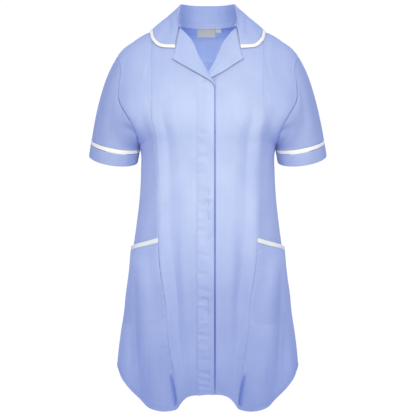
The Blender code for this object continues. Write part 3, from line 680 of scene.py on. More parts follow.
placket = {
    "width": 36.5,
    "tuckedIn": 1.6,
    "turnedIn": 12.0,
    "edgeRadius": 0.9,
    "seamLines": (0, 0.8, 1.3, 1.8, 2.4, 3.1, 3.8, 4.5),
    "edgeLines": (-1.4, -0.9, -0.45, 0, 0.45, 0.9, 1.4, 4, 8, 12),
    "stitchIn": 3.8,
    "stitchFrom": 12,       # the first row past the turned-in hem
    "flat": (0.052, 0.655),
    "held": "hung",
    "creases": rowsOf(
        Crease, (-19, -116.4, 9, -121.2, 4.6, -0.45, 0.8), (-17, -122.5, 8, -126.2, 2.8, 0.6, 0.8),
        (10, -318, 11, -430, 5.0, 0.7, 0.5), (10, -470, 11, -600, 5.0, 0.7, -0.5),
        (-12, -318, 14, -331, 6.5, -0.9, 1.5), (-10, -344, 14, -354, 6.0, -1.0, -1.5),
        (-6, -334, 12, -341, 3.5, 0.9, 1), (-8, -366, 13, -382, 6.5, -0.8, 2),
        (0, -424, 14, -410, 6.0, -0.8, -2), (-26, -205, 1, -208, 3.9, -0.79, 0.6),
        (-26, -214, -3, -214, 3.9, 0.58, -0.6), (-25, -229, -2, -232, 4.8, -0.65, -1),
        (-26, -254, 3, -256, 4.2, -0.65, -0.6), (-24, -266, -4, -268, 4.5, 0.43, 0.6),
        (-25, -289, -2, -286, 4.5, -0.58, 0.8), (-25, -310, 0, -313, 4.8, 0.5, 0.8),
        (-26, -347, 4, -350, 4.5, -0.79, 0.8), (-26, -365, 6, -367, 4.2, -0.79, -0.8),
        (-24, -376, 0, -379, 4.5, 0.5, 0.8), (-24, -402, 4, -400, 5.1, -0.58, 0.8),
        (-26, -428, 2, -430, 4.5, 0.43, 0.6), (-26, -447, 4, -451, 4.5, -0.65, 0.8),
        (-24, -486, 2, -490, 5.1, -0.5, -0.8), (-22, -520, 8, -526, 6, -0.72, -1.5),
        (-18, -538, 12, -548, 7.5, -1.15, 1.5), (-10, -556, 12, -572, 7.5, -1.01, 1),
        (-25, -586, 4, -588, 4.8, 0.58, 0.8), (-25, -612, 8, -616, 4.8, -0.72, 0.8),
        (-25, -640, 8, -643, 4.5, 0.5, 0.8), (-25, -662, 10, -665, 4.5, -0.72, 0.8),
        (-25, -689, 11, -693, 4.5, -1.15, 1), (-25, -703, 11, -708, 4.2, -1.15, 1),
        (-24, -717, 11, -721, 3.6, -0.86, 0.8)),
}


placketWidth = placket["width"] + placket["turnedIn"]


def placketShape(u, v):
    edgeInset, edgeLift = foldOver(placket["width"] - u * placketWidth, placket["edgeRadius"])
    x = np.maximum(frontFinish["placketEdgeX"] - edgeInset, frontFinish["placketSeamX"] - placket["tuckedIn"])
    row, hemLift = hemFold(v)
    inset = frontFinish["rollInset"]
    top = crossing(torso["breakZ"] + 0 * x, topZ + 0 * x, lambda z: rollX(z) - inset > x)
    z = lerp(frontHem(np.abs(x)), top, row / allRows)
    return bodyPoint(angleAt(x, z), z, edgeLift + hemLift)


def placketRelief(sheet, u, v):
    x, z = placeOf(sheet)
    distance = v * bodyCut["hemRow"]
    outside = u * placketWidth < placket["width"] - 0.5
    fromSeam = sheet.fromLeft - placket["tuckedIn"]
    total = -0.35 * hump(sheet.fromLeft - placket["stitchIn"], 0.8)
    total += puckers(sheet.fromLow, fromSeam, 16, 0.55, 5.2) * ease(-150, -215, z)
    total += 2.8 * creased(placket["creases"], x, z) + 0.9 * drift(x * 1.5, z, 4.4)
    edge = ease(0.5, 4, frontFinish["placketEdgeX"] - x)
    total = np.where((distance > 0) & outside, total * edge + hemBand(distance), 0)
    return lerp(-1.3, total, ease(-0.6, 0.6, fromSeam))


columns = [placket["seamLines"], np.linspace(6, placket["width"] - 2.6, 14),
           placket["width"] + np.array(placket["edgeLines"])]
sew("flyPlacketCloth", np.concatenate(columns) / placketWidth, bodyRows(), placketShape, placketRelief,
    placket, "front_right")
print("placket ready")


# back and yoke

backFinish = {
    "flat": (0.62, 0.74),
    "area": 0.31,
    "held": "hung",
    "yokeRow": 12,
    "yokeEase": 1.6,
    "shoulderColumns": 5,
    "neckColumns": 8,
    "yokeHeight": 75,
    "yokeStitch": 1.6,
    "creases": rowsOf(
        Crease, (-120, -95, -70, -210, 10.0, -0.9, 6), (128, -110, 84, -230, 11.0, -1.0, -7),
        (-20, -150, -34, -330, 13.0, 1.0, 4), (40, -190, 52, -380, 12.0, -1.0, -5),
        (-95, -285, -40, -300, 8.0, -0.8, 3), (30, -312, 100, -292, 9.0, -0.8, -4),
        (-70, -330, -15, -338, 9.0, 0.7, 3), (-12, -420, -22, -755, 14.0, -2.0, 5),
        (64, -480, 78, -750, 12.0, -1.8, -4), (112, -560, 126, -735, 9.0, 1.6, 3),
        (-108, -540, -118, -738, 10.0, -1.8, -3), (-60, -600, -66, -755, 9.0, 1.3, 2),
        (24, -610, 28, -760, 8.0, 1.2, 2)),
    "yokeCreases": rowsOf(
        Crease, (-12.5, 6, -11.5, -58, 3.6, 2.4, 1), (22, 2, 26, -40, 5.0, -1.2, 1),
        (70, -12, 120, -40, 7.0, -0.5, 2), (-80, -14, -126, -44, 8.0, -0.5, -2)),
}


def backShape(u, v):
    row, lift = hemFold(v)

    def angleOf(z):
        edge = armholeAngle(z, behind=True)
        return lerp(edge, 360 - edge, u)

    low = torso["hemMiddleZ"] + 0 * u
    hem = backHem(np.abs(sectionPoint(angleOf(low), low)[..., 0]))
    z = rowHeight(row, hem, torso["shoulderZ"])
    return bodyPoint(angleOf(z), z, lift)


def backRelief(sheet, u, v):
    x, z = placeOf(sheet)
    distance = v * bodyCut["hemRow"]
    outer = np.minimum(sheet.fromLeft, sheet.fromRight)
    total = 0.5 * seamEdge(outer) + 0.6 * hump(outer - 4.5, 3.0) * aboveArmpit(z)
    total += puckers(sheet.fromLow, outer, 9, 0.24 * aboveArmpit(z), 1.1)
    total += 1.7 * creased(backFinish["creases"], x, z) * ease(0, 30, outer) * ease(0, 18, distance)
    total += 1.1 * drift(x, z, 5.5) * ease(0, 30, outer)
    return hemmed(sheet, distance, total, 18, 0.3, 4.6)


yokeStart = torso["skirtRows"] + backFinish["yokeRow"]
sew("backCloth", gridLines(560, 5.0), bodyRows(yokeStart), backShape, backRelief, backFinish, "back_yoke")


def yokeShape(u, v):
    # u runs over the columns of one shoulder, those of the neck and those of the other shoulder
    shoulder, across = backFinish["shoulderColumns"], backFinish["neckColumns"]
    half = shoulder + across / 2
    column = u * 2 * half
    shoulderZ = torso["shoulderZ"]
    mirrored = np.minimum(column, 2 * half - column)
    topX = np.where(mirrored < shoulder, lerp(shoulderX, neckX, mirrored / shoulder),
                    neckX * np.cos(math.pi * np.clip(column - shoulder, 0, across) / across))
    topX = np.where((mirrored < shoulder) & (column > half), -topX, topX)
    seamZ = rowHeight(yokeStart + 0 * u, shoulderZ, shoulderZ)
    edge = armholeAngle(seamZ, behind=True)
    lowAngle = lerp(edge, 360 - edge, u)
    lowX = sectionPoint(lowAngle, seamZ)[..., 0]
    x = lerp(lowX, topX, v)
    inNeck = torso["napeZ"] + (ridgeZ(neckX) - torso["napeZ"]) * (np.abs(topX) / neckX) ** 2
    highZ = np.where(mirrored < shoulder, ridgeZ(topX), inNeck)
    z = lerp(seamZ, highZ, 1 - (1 - v) ** backFinish["yokeEase"])
    edgeZ = rowHeight(lerp(yokeStart, allRows, v), shoulderZ, shoulderZ)
    edgeAngle = armholeAngle(edgeZ, behind=True)
    onEdge = ease(0.6, 0.0, mirrored)
    overShoulder = lerp(lowAngle, np.where(column < half, 90.0, 270.0), v)
    nearShoulder = ease(shoulder + 0.6, shoulder - 0.4, mirrored)
    angle = lerp(angleAt(x, z, behind=True) % 360, overShoulder, nearShoulder)
    sideEdge = np.where(column < half, edgeAngle, 360 - edgeAngle)
    return bodyPoint(lerp(angle, sideEdge, onEdge), lerp(z, edgeZ, onEdge))


def yokeRelief(sheet, u, v):
    x, z = placeOf(sheet)
    outer = np.minimum(sheet.fromLeft, sheet.fromRight)
    total = seamEdge(outer) + seamEdge(sheet.fromLow, 0.6) + seamEdge(sheet.fromTop, 0.35, 1.0)
    total += creased(backFinish["yokeCreases"], x, z) + 0.5 * drift(x, z, 6.1) * ease(0, 20, outer)
    return total + puckers(sheet.fromLeft, sheet.fromLow, 6, 0.10, 0.4)


sew("backYokeCloth", gridLines(380, 4.2), gridLines(backFinish["yokeHeight"], 3.2), yokeShape, yokeRelief,
    {"flat": (0.51, 0.15), "area": 0.043, "held": "hung"}, "collar", wall=1.5)
print("back ready")


# sleeves and cuffs

Ring = namedtuple("Ring", "centreX centreY halfX halfY outerZ innerZ frontDrop")
sleeveSizes = {
    "cuffTop": Ring(191.8, -1, 50.6, 56, -224, -243, 9),
    "cuffBottom": Ring(197.3, -1, 50.4, 59, -257.5, -272, 12),
    "fullness": 0.78,
    "leaveArmpit": (0.25, -0.97),
    "leaveShoulder": (0.62, -0.78),
    "enterCuff": (0.17, -1.0),
    "leaveForward": 0.25,
    "pipingShare": 0.23,
    "cuffLength": 31.0,
    # x is the place round the sleeve in columns times ten, z the share of its length times a hundred
    "creases": rowsOf(
        Crease, (38, 4, 46, 70, 9.0, -1.6, 4), (62, 10, 58, 96, 9.0, 0.9, -3),
        (84, 14, 76, 92, 9.0, -0.9, 4), (104, 6, 100, 86, 9.0, 0.8, 3), (20, 6, 60, 56, 7.0, -1.3, 5),
        (172, 10, 184, 90, 10.0, -1.1, 4), (206, 6, 214, 80, 9.0, 0.9, -3), (240, 8, 226, 88, 9.0, -1.4, 4),
        (262, 4, 236, 60, 8.0, -1.0, -5)),
}


roundColumns = 2 * torso["armholeRows"]


def columnAt(side, u):
    # the place round the armhole from the armpit, first up the front, in rows of the body
    return u * roundColumns if side == left else roundColumns - u * roundColumns


def armholeLoop(side, column):
    behind = column > torso["armholeRows"]
    row = torso["skirtRows"] + np.where(behind, roundColumns - column, column)
    z = rowHeight(row, torso["armpitZ"], torso["shoulderZ"])
    angle = np.where(behind, armholeAngle(z, True), armholeAngle(z, False))
    return bodyPoint(angle, z) * np.array([side, 1, 1])


def ringPoint(ring, side, column):
    turn = math.pi * column / torso["armholeRows"]
    outward = -np.cos(turn)
    x = ring.centreX + ring.halfX * outward
    y = ring.centreY - ring.halfY * np.sin(turn)
    z = lerp(ring.innerZ, ring.outerZ, (outward + 1) / 2) - ring.frontDrop * np.sin(turn)
    return np.stack([side * x, y, z], -1)


def sleeveShape(side, u, v):
    column = columnAt(side, u)
    t = (1 - v)[..., None]
    turn = math.pi * column / torso["armholeRows"]
    top = (1 - np.cos(turn)) / 2
    start, end = armholeLoop(side, column), ringPoint(sleeveSizes["cuffTop"], side, column)
    reach = sleeveSizes["fullness"] * np.linalg.norm(end - start, axis=-1, keepdims=True)
    outward, upward = (lerp(low, high, top) for low, high in
                       zip(sleeveSizes["leaveArmpit"], sleeveSizes["leaveShoulder"]))
    leave = unit(np.stack([side * outward, -sleeveSizes["leaveForward"] * np.sin(turn), upward], -1))
    into = sleeveSizes["enterCuff"]
    arrive = unit(np.stack([side * into[0] * top, 0 * top, into[1] + 0 * top], -1))
    atStart, leaving, atEnd, arriving = blends(t)
    return start * atStart + end * atEnd + leave * reach * leaving + arrive * reach * arriving


def sleeveRelief(side, sheet, u, v):
    column = columnAt(side, u)
    down = 1 - v
    low = 1 - ease(2.5, 5.5, np.minimum(column, roundColumns - column))
    total = (0.25 + 2.2 * low) * seamEdge(sheet.fromTop, 0.9, 1.4) + 0.3 * hump(sheet.fromTop - 6, 4)
    total += 1.8 * creased(sleeveSizes["creases"], column * 10, down * 100) * ease(0, 10, sheet.fromLow)
    total += puckers(sheet.fromLeft, sheet.fromTop, 10, 0.2, 2.0 + side)
    total += puckers(sheet.fromLeft, sheet.fromLow, 7, 0.18, 3.0 + side)
    around = 2 * math.pi * column / roundColumns
    return total + 0.8 * np.sin(around * 5 + side) * np.sin(down * 4 + side) * ease(0, 12, sheet.fromTop)


def bandShape(side, low, high, step, turned, u, v):
    # a band round the cuff between two shares of its height. Below row 0 it is turned up inside.
    height = sleeveSizes["cuffLength"] * abs(low - high)
    column = columnAt(side, u)
    inset, lift = foldOver(v * height, 1.0) if turned else (v * height, 0 * v)
    share = low + (high - low) * inset / height
    upper = ringPoint(sleeveSizes["cuffTop"], side, column)
    lower = ringPoint(sleeveSizes["cuffBottom"], side, column)
    centre = lerp(sleeveSizes["cuffTop"].centreX, sleeveSizes["cuffBottom"].centreX, share)
    point = lerp(upper, lower, share[..., None])
    outward = unit(np.stack([point[..., 0] - side * centre, point[..., 1], 0 * share], -1))
    inner = outward[..., 0] * side < 0
    outward[..., 0] = np.where(inner, outward[..., 0] * 0.3, outward[..., 0])
    return point + outward * (step + lift)[..., None]


def cuffRelief(sheet, u, v):
    total = puckers(sheet.fromLeft, sheet.fromTop, 6, 0.12, 0.9) + seamEdge(sheet.fromTop, 0.5, 1.2)
    around = 2 * math.pi * u
    total = total + 0.5 * np.sin(around * 4 + 1) * np.sin(around * 7) * ease(0, 8, sheet.fromTop)
    return np.where(v > 0.04, total, 0)


def pipingRelief(sheet, u, v):
    # a flat doubled strip, a little fuller between its edges and its line of stitches
    height = 0.35 * np.sqrt(np.clip(1 - (2 * v - 1) ** 2, 0, 1)) - 0.28 * hump(v - 0.5, 0.09)
    return height + puckers(sheet.fromLeft, np.abs(v - 0.5) * 8 + 2, 9, 0.05, 1.5)


sleeveCut = {"flat": (0.52, 0.20), "area": 0.037, "held": "hung"}
cuffCut = {"flat": (0.36, 0.040), "area": 0.0125, "held": "folded"}
cuffPipingCut = {"flat": (0.35, 0.010), "area": 0.0026, "held": "folded"}
around = np.linspace(0, 1, 101)
sleeveRows = np.concatenate([np.linspace(0, 0.93, 42), [0.945, 0.96, 0.972, 0.983, 0.992, 1.0]])
cuffRows = np.concatenate([[-0.45, -0.3, -0.15, -0.07, -0.035, 0, 0.035, 0.07], np.linspace(0.13, 0.92, 7),
                           [0.96, 1]])
pipingRows = np.linspace(0, 1, 10)
share = sleeveSizes["pipingShare"]
ring = {"closed": True, "hangs": False}
# the sleeves and cuffs take the darker copy of the cloth, painted shade
for side, word in bothSides:
    sleeve = "sleeve_" + word.lower()
    sew("sleeve" + word + "Cloth", around, sleeveRows, partial(sleeveShape, side),
        partial(sleeveRelief, side), sleeveCut, "side_front_" + word.lower(), shadedPoplin, **ring)
    cuffBand = partial(bandShape, side, 1.0, share + 0.005, 1.0, True)
    sew("cuff" + word + "Cloth", around, cuffRows, cuffBand, cuffRelief, cuffCut, sleeve, shadedPoplin, **ring)
    pipingBand = partial(bandShape, side, share, 0.0, 0.6, False)
    sew("cuffPiping" + word, around, pipingRows, pipingBand, pipingRelief, cuffPipingCut, sleeve,
        piping, "piping", wall=1.1, **ring)
print("sleeves ready")


# collar

Rib = namedtuple("Rib", "neck roll edge")
collarSizes = {
    "ribs": rowsOf(
        Rib, ((0, 64.5, 12.5), (0, 70, 58), (0, 87, -6)), ((21, 62, 12.5), (20, 68, 58), (38, 84, -6)),
        ((36, 54.5, 13.5), (36, 57, 58.5), (70, 76, -4)), ((47, 43, 14.5), (47, 40, 59), (95, 60, 0)),
        ((54, 26, 15.5), (52, 21, 58.5), (108.5, 31, 4)), ((57.3, 3, 16.5), (55, 3, 55), (113.5, 3, 4)),
        ((57.5, -13, 16), (57, -12, 47), (116.5, -20, 0)),
        ((57.2, -25, 15), (59, -24, 36), (117.5, -45, -9)),
        ((56.8, -34, 13.5), (60, -34, 26), (113, -64, -21)),
        ((55.4, -40.5, 12), (59.6, -43, 17), (97, -76, -34)),
        ((54, -46, 10), (59, -51.5, 10.5), (67, -82.5, -37))),
    "rollRadius": 2.6,
    "rollShare": 0.45,
    "piping": 8.0,
    "bulge": 2.0,
    "lift": 3.4,
    "creases": rowsOf(
        Crease, (80, 34, 84, -14, 6.0, -1.3, 2), (70, 36, 70, -12, 4.5, 0.9, 1),
        (95, 14, 99, -16, 5.0, 0.6, 1)),
}


def ribPoint(field, along):
    parts = []
    for axis in range(3):
        samples = [Sample(i, getattr(rib, field)[axis]) for i, rib in enumerate(collarSizes["ribs"])]
        parts.append(curve(samples, "at", "value")(np.abs(along) * (len(samples) - 1)))
    parts[0] = np.where(along > 0, parts[0], -parts[0])
    return np.stack(parts, -1)


def clearOfBody(points, lift):
    # moves points out until they lie at least lift off the torso's sections
    def measure(p):
        x, y, z = p[..., 0], p[..., 1], np.clip(p[..., 2], torso["sections"][-1].z, topZ)
        depth = np.where(y < 0, frontDepth(z), backDepth(z))
        power = np.where(y < 0, torso["frontPower"], torso["backPower"])
        return (np.abs(x) / halfWidth(z)) ** power + (np.abs(y) / depth) ** power - 1

    for _ in range(6):
        slope = np.stack([(measure(points + step) - measure(points - step)) / 2 for step in np.eye(3)], -1)
        length = np.linalg.norm(slope, axis=-1)
        away = measure(points) / length
        move = np.where((away < lift - 0.01) & (points[..., 2] <= topZ + lift), lift - away, 0)
        points = points + slope / length[..., None] * move[..., None]
    return points


def collarShape(u, v):
    # v runs down the outside from the crest: 3 at the piping, 2 at the crest's outer side,
    # 1 at its inner side and 0 at the neck seam. Below that it is turned into the neck.
    along, t = 1 - 2 * u, 3 - v
    up = np.array([0, 0, 1.0])
    neck, roll = ribPoint("neck", along), ribPoint("roll", along)
    edge = clearOfBody(ribPoint("edge", along), collarSizes["lift"])
    out = unit((edge - roll) * np.array([1, 1, 0]))
    stood = np.linalg.norm(roll - neck, axis=-1, keepdims=True)
    radius = np.minimum(collarSizes["rollRadius"], stood * collarSizes["rollShare"])
    start = roll - up * radius
    middle = start + out * radius
    stand = lerp(neck, start, np.clip(t, 0, 1)[..., None])
    stand = stand - (up * 4 + out * 1.5) * np.clip(-t, 0, 1)[..., None]
    turn = (math.pi * (2 - np.clip(t, 1, 2)))[..., None]
    arc = middle + radius * (up * np.sin(turn) + out * np.cos(turn))
    fall = middle + out * radius
    length = np.linalg.norm(edge - fall, axis=-1)
    share = ((1 - collarSizes["piping"] / length) * np.clip(t - 2, 0, 1)
             + collarSizes["piping"] / length * np.clip(t - 3, 0, 1))[..., None]
    drop = lerp(fall, edge, share) + (out + 0.4 * up) * collarSizes["bulge"] * np.sin(math.pi * share) * share
    drop = clearOfBody(drop, collarSizes["lift"])
    t = t[..., None]
    return np.where(t <= 1, stand, np.where(t <= 2, arc, drop))


def collarRelief(sheet, u, v):
    x, y, z = (sheet.points[..., axis] for axis in range(3))
    t = 3 - v
    onFall = ease(2.0, 2.3, t)
    total = 2.4 * creased(collarSizes["creases"], np.abs(x), z) * onFall * (y < 15)
    total = total + 0.6 * drift(x * 1.4, z * 1.6 + y, 2.2) * onFall
    total += seamEdge(sheet.fromLow, 0.5, 1.0) * (t > 2)
    ends = np.minimum(sheet.fromLeft, sheet.fromRight)
    total += seamEdge(ends, 0.4, 1.2)
    onStand = (t < 1) & (t > 0)
    band = -0.9 * hump(t - 0.16, 0.03) + 0.3 * (1 - ease(0.16, 0.2, t))
    return total + np.where(onStand, band + puckers(sheet.fromLeft, 30 * np.abs(t) + 2, 8, 0.12, 0.2), 0)


rows = np.concatenate([np.linspace(0, 1, 22), np.linspace(1, 2, 9)[1:], np.linspace(2, 2.8, 10)[1:],
                       [2.84, 2.88, 2.93, 2.97, 3.0, 3.3, 3.7, 4.0]])
sew("collarCloth", gridLines(430, 3.6), rows, collarShape, collarRelief,
    {"flat": (0.56, 0.13), "area": 0.042, "held": "folded"}, "back_yoke", wall=1.0, hangs=False)
sew("collarPiping", gridLines(460, 4.0), pipingRows, lambda u, v: collarShape(u, v - 1),
    pipingRelief, {"flat": (0.59, 0.010), "area": 0.0046, "held": "folded"}, "collar", piping, "piping",
    wall=1.3, hangs=False)


# lapels, turned back along the roll and over the fronts

Revers = namedtuple("Revers", "share x z")
lapelSizes = {
    "edge": rowsOf(
        Revers, (0.0, 14.0, -115.6), (0.12, 7.9, -107.6), (0.24, -6.9, -98.1), (0.44, -34.2, -82.6),
        (0.62, -72.8, -60.1), (0.70, -67.6, -50.0), (0.78, -65.2, -38.5), (1.0, -58.6, 1.5)),
    "tip": 4,
    "topZ": 4.5,
    "rollEnd": 1.2,         # past 1 the cloth rolls round the front's edge up to here
    "turnEnd": 1.3,         # and then runs behind it
    "rollRadius": 1.9,
    "breakRadius": 0.9,
    "turnedIn": 7.0,
    "flat": (0.085, 0.185),
    "area": 0.0062,
    "held": "folded",
}
tip = lapelSizes["tip"]
edgeParts = (lapelSizes["edge"][:tip + 1], lapelSizes["edge"][tip:])


def lapelEdge(v, column):
    below, above = (curve(part, "share", column) for part in edgeParts)
    return np.where(v <= lapelSizes["edge"][tip].share, below(v), above(v))


def lapelShape(side, u, v):
    rollEnd, turnEnd = lapelSizes["rollEnd"], lapelSizes["turnEnd"]
    across = u if side == right else turnEnd - u
    outerX, outerZ = lapelEdge(v, "x"), lapelEdge(v, "z")
    innerZ = lerp(torso["breakZ"], lapelSizes["topZ"], v)
    flat = np.minimum(across, 1)
    radius = lerp(lapelSizes["breakRadius"], lapelSizes["rollRadius"], ease(0.0, 0.10, v))
    beyond = np.clip((across - 1) / (rollEnd - 1), 0, 1) * math.pi
    behind = np.clip((across - rollEnd) / (turnEnd - rollEnd), 0, 1) * lapelSizes["turnedIn"]
    x = lerp(outerX, rollX(innerZ) - radius, flat) + radius * np.sin(beyond) - behind
    z = lerp(outerZ, innerZ, flat)
    off = torso["layer"] + 2.0 * ease(1.0, 0.6, v) + 1.4 * hump(v - 0.17, 0.12)
    lift = lerp(off, radius, ease(0.5, 1.0, flat)) - radius * (1 - np.cos(beyond))
    if side == left:
        lift = lift + underRight(-x, z)
        x = -x
    return bodyPoint(angleAt(x, z), z, lift)


def lapelRelief(side, sheet, u, v):
    across = u if side == right else lapelSizes["turnEnd"] - u
    outer = edgesOf(sheet, side == right)[0]
    soft = 0.5 * np.sin(v * 5 + side) * np.sin(across * 3.4) * (across < 1)
    return soft - 0.9 * hump(outer, 0.8) + 0.3 * hump(outer - 3, 2)


outwards = np.concatenate([[0, 0.006, 0.012, 0.02, 0.032], np.linspace(0.06, 0.97, 20), [1.0],
                           np.linspace(1.02, 1.2, 8), [1.25, 1.3]])
rows = np.concatenate([np.linspace(0, 0.62, 30), np.linspace(0.62, 1.0, 20)[1:]])
for side, word in bothSides:
    columns = outwards if side == right else (lapelSizes["turnEnd"] - outwards)[::-1]
    sew("lapel" + word + "Cloth", columns, rows, partial(lapelShape, side), partial(lapelRelief, side),
        lapelSizes, "front_" + word.lower())
print("collar and lapels ready")


# hip pockets

pocketSizes = {
    "flat": (0.197, 0.190),
    "area": 0.032,
    "held": "hung",
    "mouthFrontZ": -418.0,
    "mouthSideZ": -450.0,
    "mouthCurve": 0.95,
    "piping": 9.0,
    "bottomZ": -606.0,
    "gape": 2.5,
    "gapeLength": 70.0,
    "gapeShare": 0.8,
    "fullness": 8.0,        # how far the bag swells below its mouth
    "closeLift": 0.9,       # where it is sewn down it nearly touches the panel
    "sunkLift": -0.25,      # and at its foot it runs into it, as no seam shows there
    "gridWidth": 150,
    "stitchIn": 2.4,
    "creases": rowsOf(
        Crease, (104, -450, 140, -470, 9.0, -0.7, 3), (150, -470, 153, -600, 8.0, -1.6, 2),
        (128, -470, 120, -590, 11.0, 0.9, 3), (106, -500, 96, -600, 8.0, -0.7, 2)),
}


def mouthZ(share):
    return lerp(pocketSizes["mouthFrontZ"], pocketSizes["mouthSideZ"], share ** pocketSizes["mouthCurve"])


def pocketPoint(side, share, z):
    angle = lerp(angleAt(princessX(z) + 0.1, z), 90.0, share)
    drop = mouthZ(share) - z
    opened = np.exp(-np.maximum(drop, 0) / pocketSizes["gapeLength"])
    sewn = ease(1.0, 0.93, share)
    held = np.minimum(ease(0, 0.12, share), sewn)
    lift = lerp(pocketSizes["closeLift"], torso["layer"], held)
    lift = lerp(pocketSizes["sunkLift"], lift, ease(pocketSizes["bottomZ"], pocketSizes["bottomZ"] + 75, z))
    lift = lift + pocketSizes["gape"] * opened * ease(0.0, pocketSizes["gapeShare"], share) * sewn
    full = ease(-8, 48, drop) * (1 - ease(55, 150, drop))
    full = full * np.sin(math.pi * share) * (1 - ease(0.55, 0.82, share))
    return bodyPoint(side * angle, z, lift + pocketSizes["fullness"] * full)


def pocketShape(side, isPiping, u, v):
    share = u if side == left else 1 - u
    mouth, strip = mouthZ(share), pocketSizes["piping"]
    z = mouth - (1 - v) * strip if isPiping else lerp(pocketSizes["bottomZ"], mouth - strip, v)
    return pocketPoint(side, share, z)


def pocketRelief(side, sheet, u, v):
    x, z = placeOf(sheet)
    seam, outer = edgesOf(sheet, side == left)
    total = seamEdge(seam, 0.4) + seamEdge(outer, 0.4)
    total += seamEdge(sheet.fromTop, 0.5, 1.0) - 0.3 * hump(seam - pocketSizes["stitchIn"], 0.7)
    total += puckers(sheet.fromLow, seam, 9, 0.6, 0.8 + side)
    total += 1.6 * creased(pocketSizes["creases"], np.abs(x), z)
    under = creased(frontFinish["sideCreases"], np.abs(x), z)
    return total * ease(0, 40, sheet.fromLow) + under + 0.8 * drift(x, z, 2.6 if side == left else 3.3)


pocketPipingCut = {"flat": (0.168, 0.010), "area": 0.0016, "held": "folded"}
for side, word in bothSides:
    sew("pocket" + word + "Cloth", gridLines(pocketSizes["gridWidth"], 3.8), gridLines(165, 2.4),
        partial(pocketShape, side, False), partial(pocketRelief, side), pocketSizes,
        "side_front_" + word.lower())
    sew("pocketPiping" + word, gridLines(100, 3.8), pipingRows, partial(pocketShape, side, True),
        pipingRelief, pocketPipingCut, "pocket_" + word.lower(), piping, "piping", wall=1.2)
print("pockets ready")


# labels inside the back neck, left blank

labels = {
    "neckLabel": {"slot": "label", "box": (-22.8, 15.8, -6.5, 11.5), "material": labelWeave, "curl": 1.6,
                  "flat": (0.039, 0.025), "held": "hung"},
    "sizeTab": {"slot": "size_tab", "box": (17.1, 29.2, 3.5, 12.0), "material": tabWeave, "curl": 0.7,
                "flat": (0.0125, 0.014), "held": "hung"},
}


def labelShape(label, u, v):
    start, end, low, high = label["box"]
    x, z = lerp(start, end, u), lerp(low, high, v)
    x = np.where(np.abs(x) < 0.3, 0.3, x)
    return bodyPoint(angleAt(x, z, behind=True), z, -(2.4 + label["curl"] * (1 - v) ** 2))


def labelRelief(sheet, u, v):
    edge = np.minimum.reduce([sheet.fromLeft, sheet.fromRight, sheet.fromLow, sheet.fromTop])
    return 0.15 * hump(edge - 1.2, 0.5) - 0.12 * hump(edge, 0.4)


close = (0.3, 0.8, 1.3)
for name, label in labels.items():
    sew(name, gridLines(38, 1.2, close), gridLines(18, 1.0, close), partial(labelShape, label),
        labelRelief, label, "back_yoke", label["material"], label["slot"], wall=0.45)
print("labels ready")


# stitches, one small grain of thread each

stitch = {"pitch": 3.1, "length": 1.15, "breadth": 0.26, "height": 0.2, "sink": 0.05}


def nearest(lines, value):
    return int(np.argmin(np.abs(np.asarray(lines) - value)))


def rowPath(name, row):
    sheet = sheets[name]
    j = nearest(sheet.rows, row)
    return sheet.points[:, j], sheet.normals[:, j]


def columnPath(name, column, first=0):
    sheet = sheets[name]
    i = nearest(sheet.columns, column)
    return sheet.points[i, first:], sheet.normals[i, first:]


def sewn(bm, path):
    points, normals = path
    along = np.concatenate([[0], np.cumsum(np.linalg.norm(np.diff(points, axis=0), axis=-1))])
    at = np.arange(stitch["pitch"] / 2, along[-1], stitch["pitch"])
    if len(at) < 3:
        return
    places, ups = (np.stack([np.interp(at, along, field[:, axis]) for axis in range(3)], -1)
                   for field in (points, normals))
    for place, up, way in zip(places, unit(ups), unit(np.gradient(places, axis=0))):
        up, way = Vector(up), Vector(way)
        across = up.cross(way).normalized()
        matrix = Matrix((way * stitch["length"], across * stitch["breadth"], up * stitch["height"]))
        matrix = matrix.transposed().to_4x4()
        matrix.translation = Vector(place) + up * stitch["sink"]
        matrix = Matrix.Scale(millimetre, 4) @ matrix
        bmesh.ops.create_icosphere(bm, subdivisions=1, radius=1.0, matrix=matrix)


def stitching(name, paths, material=blueThread):
    bm = bmesh.new()
    for path in paths:
        sewn(bm, path)
    bmesh.ops.recalc_face_normals(bm, faces=bm.faces)
    bm.loops.layers.uv.new("grain")
    piece = finished(name, bm, material)
    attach(piece, "root")


hemLine = bodyCut["hemStitch"] / bodyCut["hemRow"]
hemPaths = [rowPath(name, hemLine) for name in ("frontRightCloth", "frontLeftCloth", "flyPlacketCloth",
                                                "sideFrontRightCloth", "sideFrontLeftCloth", "backCloth")]
stitching("hemStitching", hemPaths)
placketPath = columnPath("flyPlacketCloth", placket["stitchIn"] / placketWidth, placket["stitchFrom"])
stitching("placketStitching", [placketPath])
stitchShare = pocketSizes["stitchIn"] / pocketSizes["gridWidth"]
pocketPaths = [columnPath("pocketRightCloth", 1 - stitchShare), columnPath("pocketLeftCloth", stitchShare)]
stitching("pocketStitching", pocketPaths)
yokePath = rowPath("backYokeCloth", backFinish["yokeStitch"] / backFinish["yokeHeight"])
stitching("yokeStitching", [yokePath])
pipingPaths = [rowPath(name, 0.5) for name in ("collarPiping", "cuffPipingRight", "cuffPipingLeft",
                                               "pocketPipingRight", "pocketPipingLeft")]
stitching("pipingStitching", pipingPaths, whiteThread)
print("stitches ready")


# floor, light and camera

